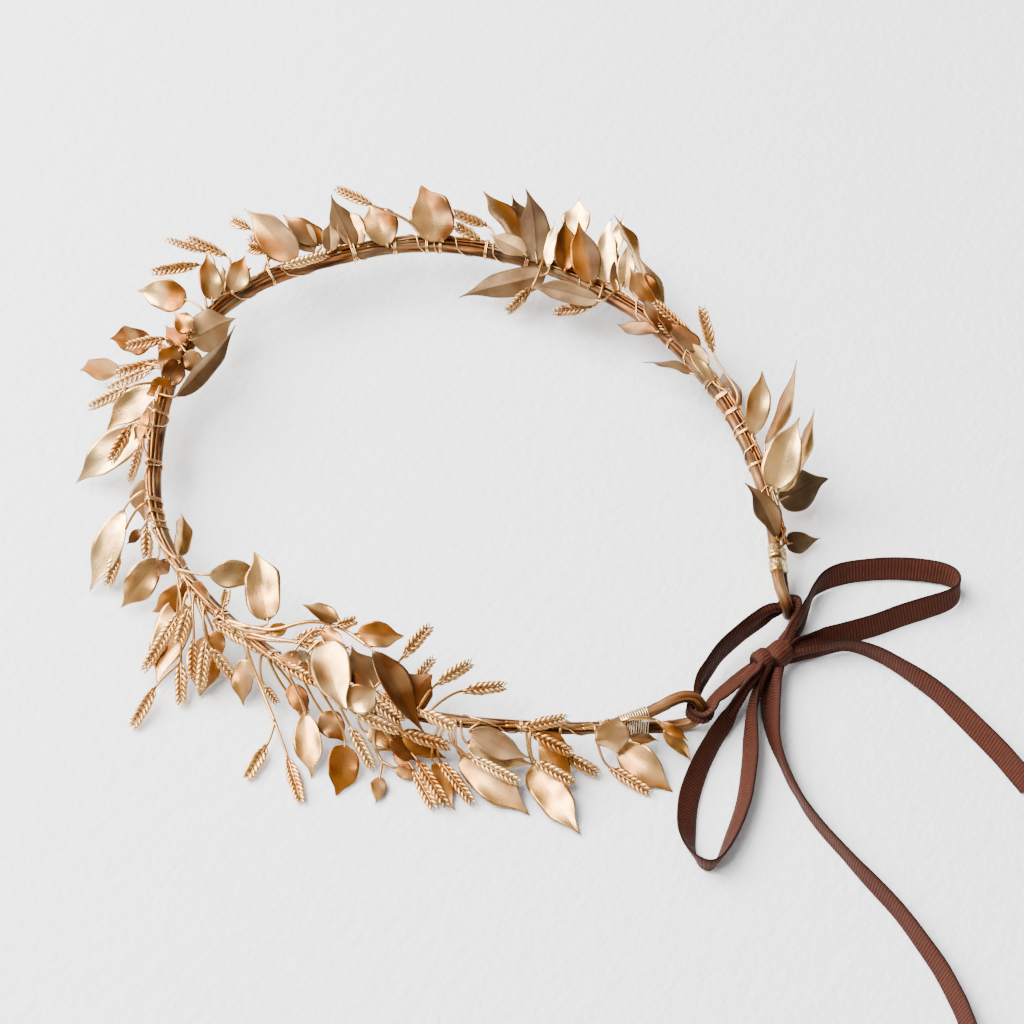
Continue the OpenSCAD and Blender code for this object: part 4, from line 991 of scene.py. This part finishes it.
spray("spray_18", 27.75, 29.35, 60, [
    ["bb", 27.95, 374, 688, 16, 352, 644, 20.5, 9.4, 202, 14],
    ["bb", 28.8, 404, 706, 16, 432, 674, 19, 9.6, 180, 12, 0.05, 0, 1.0],
    ["og", 27.8, 366, 732, 7, 416, 744, 4, 6.2, 0, 14],
    ["tg", [382, 762, 2.4], 380, 777, 1.6, 375, 805, 0.5, 4.2, 0, 15],
    ["tg", [382, 762, 2.4], 395, 768, 2.4, 420, 778, 0.8, 4, 0, 15],
    ["bb", [376, 750, 4], 394, 752, 3.4, 412, 770, 2.6, 3, 0, 15, 0.04],
    ["bo", 28.4, 402, 732, 9, 446, 758, 3, 6, 10, 16],
    ["bb", 28.0, 390, 738, 8, 418, 762, 3, 5, 0, 15, 0.04]], [
    ["g", 28, 402, 658, 19, 431, 625, 21],
    ["g", 28.6, 413, 684, 15, 434, 657, 15.5, 2.4],
    ["g", 29, 437, 684, 16.5, 472, 662, 17],
    ["g", 29.2, 462, 691, 15, 506, 686, 15],
    ["w", 29.25, 420, 710, 16.4, 454, 728, 15],
    ["b", 28.9, 368, 698, 16, 402, 722, 14, 3],
    ["o", 28.95, 378, 692, 16.6, 412, 716, 15.4, 3],
    ["o", 28.6, 404, 733, 11, 451, 747, 8],
    ["p", [400, 752, 3.6], 414, 770, 3, 434, 808, 1.5],
    ["o", [401, 742, 5.6], 418, 761, 4.4, 447, 806, 2.8]], [
    [28.2, [[373, 735, 8], [376, 750, 4], [382, 762, 2.4]]],
    [28.5, [[402, 732, 8.5], [400, 752, 3.6]]]])
spray("spray_19", 29.5, 30.75, 60, [
    ["ow", 29.9, 467, 743, 8.5, 533, 764, 5.4, 8, -12, 24, 0.04],
    ["tk", 30.3, 470, 732, 12.5, 531, 758, 9.5, 7, -10, 15, 0.03],
    ["og", 29.55, 433, 763, 3.6, 455, 810, 0.4, 5.4, -16, 15],
    ["kg", 29.8, 461, 756, 5, 529, 815, 0.4, 9.2, 0, 14, 0.05, 0, 1.1],
    ["bb", [468, 757, 5], 490, 768, 4.6, 516, 784, 3, 3, 0, 15, 0.04]], [
    ["g", 29.65, 440, 761, 4, 473, 803, 1.8],
    ["w", [465, 755, 6.2], 472, 758, 7.4, 519, 782, 6]], [
    [29.7, [[450, 728, 12.2], [453, 743, 8], [468, 757, 5.5]]]])
spray("spray_20", 30.9, 32.3, 60, [
    ["pg", 31.2, 533, 764, 4.4, 580, 835, 0.4, 9.6, 0, 14, 0.05, 0, 1.1],
    ["og", 31.6, 540, 744, 8, 575, 784, 1.6, 6.2, 0, 18],
    ["og", 31.4, 536, 734, 11.5, 572, 747, 8, 4.4, 0, 18, 0.04]], [
    ["p", 31, 522, 728, 13.4, 568, 718, 13],
    ["p", 31.3, 536, 762, 7.8, 573, 782, 5.6],
    ["o", 31.5, 532, 734, 12, 572, 753, 9.4],
    ["g", 31.9, 563, 754, 6, 599, 774, 2]])
spray("spray_21", 32.5, 33.4, 60, [
    ["kg", 32.9, 608, 720, 13.5, 617, 753, 6, 9, 0, 12, 0.05, 0, 0.9],
    ["po", 33, 619, 744, 4.6, 673, 792, 0.4, 9, 0, 14],
    ["bo", 33.1, 630, 737, 8.6, 658, 741, 5, 2.8, 0, 12, 0.04],
    ["gg", [655, 720, 10.5], 665, 728, 8, 691, 762, 0.8, 4, 10, 18],
    ["bo", [655, 720, 10.5], 660, 722, 10.5, 688, 741, 8, 3, 0, 12, 0.04]], [
    ["g", 32.7, 609, 767, 2, 650, 793, 1.3]], [
    [33.3, [[628, 719, 12.5], [642, 718, 12], [655, 720, 10.5]]]])

# ---------------------------------------------------------------------------------------------
# Binding wire. Fine gilt wire, 0.4 mm thick, runs along the whole band. It takes two tight
# turns wherever a stem is laid on, and a few slow ones on the way to the next.
binding_r = 0.0002
tight_pitch = 0.00046    # between two tight turns
turns_between = 0.55     # slow turns for each point of the band
tight_sides, slow_sides = 20, 16
stem_reach = 0.00087     # from the middle of a stem to the outside of its wires
binding_turns = [2.15, 2.9, 3.4, 3.8, 4.2, 5.4, 7.55, 8.7, 9.0, 9.9, 10.9, 11.2, 11.9, 12.8, 14.65,
                 17.55, 19.05, 20.2, 21.1, 21.4, 21.8, 24.35, 24.9, 25.85, 26.4, 29.3, 31.1, 32.9]


def belt_point(rods, across, heading, angle, clear):
    """Where a taut wire runs round a bundle of round rods, at an angle round it."""
    outward = math.cos(angle) * across + math.sin(angle) * heading.cross(across)
    centre, radius = max(rods, key=lambda rod: outward.dot(rod[0]) + rod[1])
    return centre + outward * (radius + clear)


def bundle_at(u):
    """The band and the stems and thin wires that lie along it, each with its radius."""
    rods = [(band_at(u), band_d / 2 + 0.00004)]
    for u0, u1, lie in laid_stems:
        if u0 - stem_before <= u <= u1 + stem_past:
            rods.append((stem_at(u, lie), stem_reach))
        if u0 + 0.1 <= u <= u1 + 0.9:
            rods.append((beside_band(u, lie - 34, band_d / 2 + runner_seat), runner_seat))
    return rods


def wind(route, u, angle):
    """Next point of the binding wire, at u along the band and an angle round it."""
    heading = band_heading(u)
    across = heading.cross(up).normalized()
    route.append(belt_point(bundle_at(u), across, heading, angle, binding_r))


bright_wire = gilded_material("bright_wire", 500, 0.00002)[0]
route, angle = [], 0.0
stops = [0.2] + binding_turns + [33.3]
for u_from, u_to in zip(stops, stops[1:]):
    turns = max(1, round((u_to - u_from) * turns_between))
    count = turns * slow_sides
    for i in range(count):
        wind(route, u_from + (u_to - u_from) * i / count, angle)
        angle += 2 * math.pi * turns / count
    if u_to < stops[-1]:
        pitch = tight_pitch / (band_at(u_to + 0.05) - band_at(u_to - 0.05)).length * 0.1
        for i in range(2 * tight_sides + 4):
            wind(route, u_to + pitch * (i / tight_sides - 1), angle)
            angle += 2 * math.pi / tight_sides
shell = new_shell()
tube(shell, route, [binding_r] * len(route), 6, (0.92, 0.60, 0.28, 1.0))
make_piece("binding_wire", shell, [bright_wire])

# ---------------------------------------------------------------------------------------------
# Foot of the right eye. Two crinkled bands of bright gilt foil tape are pressed round both
# legs of the wire where they lie together.
foil = gilded_material("gilt_foil", 420, 0.00012)[0]
bright_foil = (1.0, 0.76, 0.29, 1.0)


def legs_at(legs, f):
    """The two legs of an eye where they lie together, a part f along them, as a bundle."""
    middles = [leg[0] + (leg[1] - leg[0]) * f for leg in legs]
    heading = sum((leg[1] - leg[0] for leg in legs), Vector()).normalized()
    across = middles[1] - middles[0]
    across = (across - across.dot(heading) * heading).normalized()
    return [(middle, band_d / 2) for middle in middles], across, heading


right_legs = [[Vector(curve_at(band_points, 10.2)), Vector(curve_at(band_points, 12.25))],
              [Vector(curve_at(band_points, 1.1)), spot(778.3, 550, 7.4)]]
shell = new_shell()
for band_number, (f0, f1) in enumerate(((-0.02, 0.46), (0.52, 1.02))):
    rings, lay_rows, tones, rims = [], [], [], []
    stations, sides = 14, 72
    for i in range(stations + 1):
        f = f0 + (f1 - f0) * i / stations
        bundle = legs_at(right_legs, f)
        lip = min(i, stations - i)
        ring, tone_ring, rim_ring = [], [], []
        for k in range(sides):
            angle = 2 * math.pi * k / sides
            crinkle = noise.noise(Vector((4 * math.cos(angle) + band_number * 9,
                                          4 * math.sin(angle), f * 16)))
            fold = noise.noise(Vector((9 * math.cos(angle), 9 * math.sin(angle) + 5,
                                       f * 5 + band_number)))
            clear = 0.00042 + 0.00020 * crinkle + 0.00013 * fold
            clear *= (0.25, 0.8, 1)[min(lip, 2)]
            ring.append(belt_point(*bundle, angle, clear))
            # Painted light: the foil is brown where its crinkles sink and bright where they rise,
            # and the Rim mark lays painted shade on its lips and in the hollows of its folds.
            tone_ring.append(blend_tone(gilding_tones["b"], bright_foil,
                                        min(1, max(0, 0.62 + 1.8 * crinkle))))
            rim_ring.append(max(0, 0.9 - 0.6 * lip) + max(0, -fold) * 0.8)
        rings.append(ring)
        lay_rows.append([(f * 0.006, 0.016 * k / sides) for k in range(sides + 1)])
        tones.append(tone_ring)
        rims.append(rim_ring)
    skin(shell, rings, lay_rows, tones, rims)
make_piece("collar_right", shell, [foil], "collar_right")

# Foot of the left eye. Twelve turns of pale gilt wire are wound round both legs, a little
# apart, so that the band shows between them, with painted shade laid on it there.
left_legs = [[band_at(33.65), band_at(34.95)],
             [spot(618, 729.5, 6.6), Vector(curve_at(band_points, len(band_points) - 2.7))]]
collar_turns, collar_sides, collar_wire_r = 12, 24, 0.00018
shell = new_shell()
route = []
for i in range(collar_turns * collar_sides + 1):
    bundle = legs_at(left_legs, i / (collar_turns * collar_sides))
    route.append(belt_point(*bundle, 2 * math.pi * i / collar_sides, collar_wire_r))
tube(shell, route, [collar_wire_r] * len(route), 8, (1.0, 0.84, 0.60, 1.0))
make_piece("collar_left", shell, [bright_wire], "collar_left")

# ---------------------------------------------------------------------------------------------
# Table and light. A pale table top with faint brush marks in its paint. Two soft lights stand
# to the left of it and a weak one in front, in a room that is brighter on the left.
table_mesh = bpy.data.meshes.new("table")
table_mesh.from_pydata([(-4, -4, 0), (4, -4, 0), (4, 4, 0), (-4, 4, 0)], [], [(0, 1, 2, 3)])
table = add_object("table", table_mesh)
painted, tree, shader = new_material("painted_table")
where = place(tree, "ShaderNodeTexCoord").outputs["Object"]
strokes = noise_in(tree, where, (60, 190, 1), 5.0, turned=0.9, Roughness=0.62)
pebble = noise_in(tree, where, 420.0, 3.0)
feed(tree, shader, {
    "Base Color": mixed(tree, strokes, (0.81, 0.835, 0.885, 1), (0.88, 0.905, 0.955, 1)),
    "Roughness": ranged(tree, pebble, low=0.7, high=0.9),
    "Normal": bumped(tree, worked(tree, 'ADD', strokes, pebble), 0.5, 0.0009)})
table_mesh.materials.append(painted)

warm_white = (1.0, 0.965, 0.91)
world = bpy.data.worlds.new("studio")
bpy.context.scene.world = world
world.use_nodes = True
backdrop = world.node_tree
view_away = Vector((-view_back.x, -view_back.y, 0)).normalized()
window_side = (-0.85 * view_right + 0.25 * view_away + 0.45 * up).normalized()
round_studio = place(backdrop, "ShaderNodeTexCoord").outputs["Generated"]
to_window = place(backdrop, "ShaderNodeVectorMath", {0: round_studio, 1: tuple(window_side)},
                  operation='DOT_PRODUCT')
feed(backdrop, backdrop.nodes["Background"], {
    "Color": (*warm_white, 1),
    "Strength": ranged(backdrop, to_window.outputs["Value"], -0.3, 0.95, 0.10, 1.1)})
for name, offset, size, power in (
        ("soft_left", -0.85 * view_right + 0.35 * view_away + 1.0 * up, 1.1, 78),
        ("soft_over_shoulder", -0.5 * view_right - 0.35 * view_away + 1.2 * up, 0.55, 22),
        ("soft_front_right", 0.9 * view_right - 0.8 * view_away + 1.0 * up, 1.2, 4)):
    lamp = bpy.data.lights.new(name, 'AREA')
    lamp.shape = 'SQUARE'
    lamp.size = size
    lamp.energy = power
    lamp.color = warm_white
    holder = add_object(name, lamp)
    holder.location = view_aim + offset
    holder.rotation_euler = (-offset).to_track_quat('-Z', 'Y').to_euler()
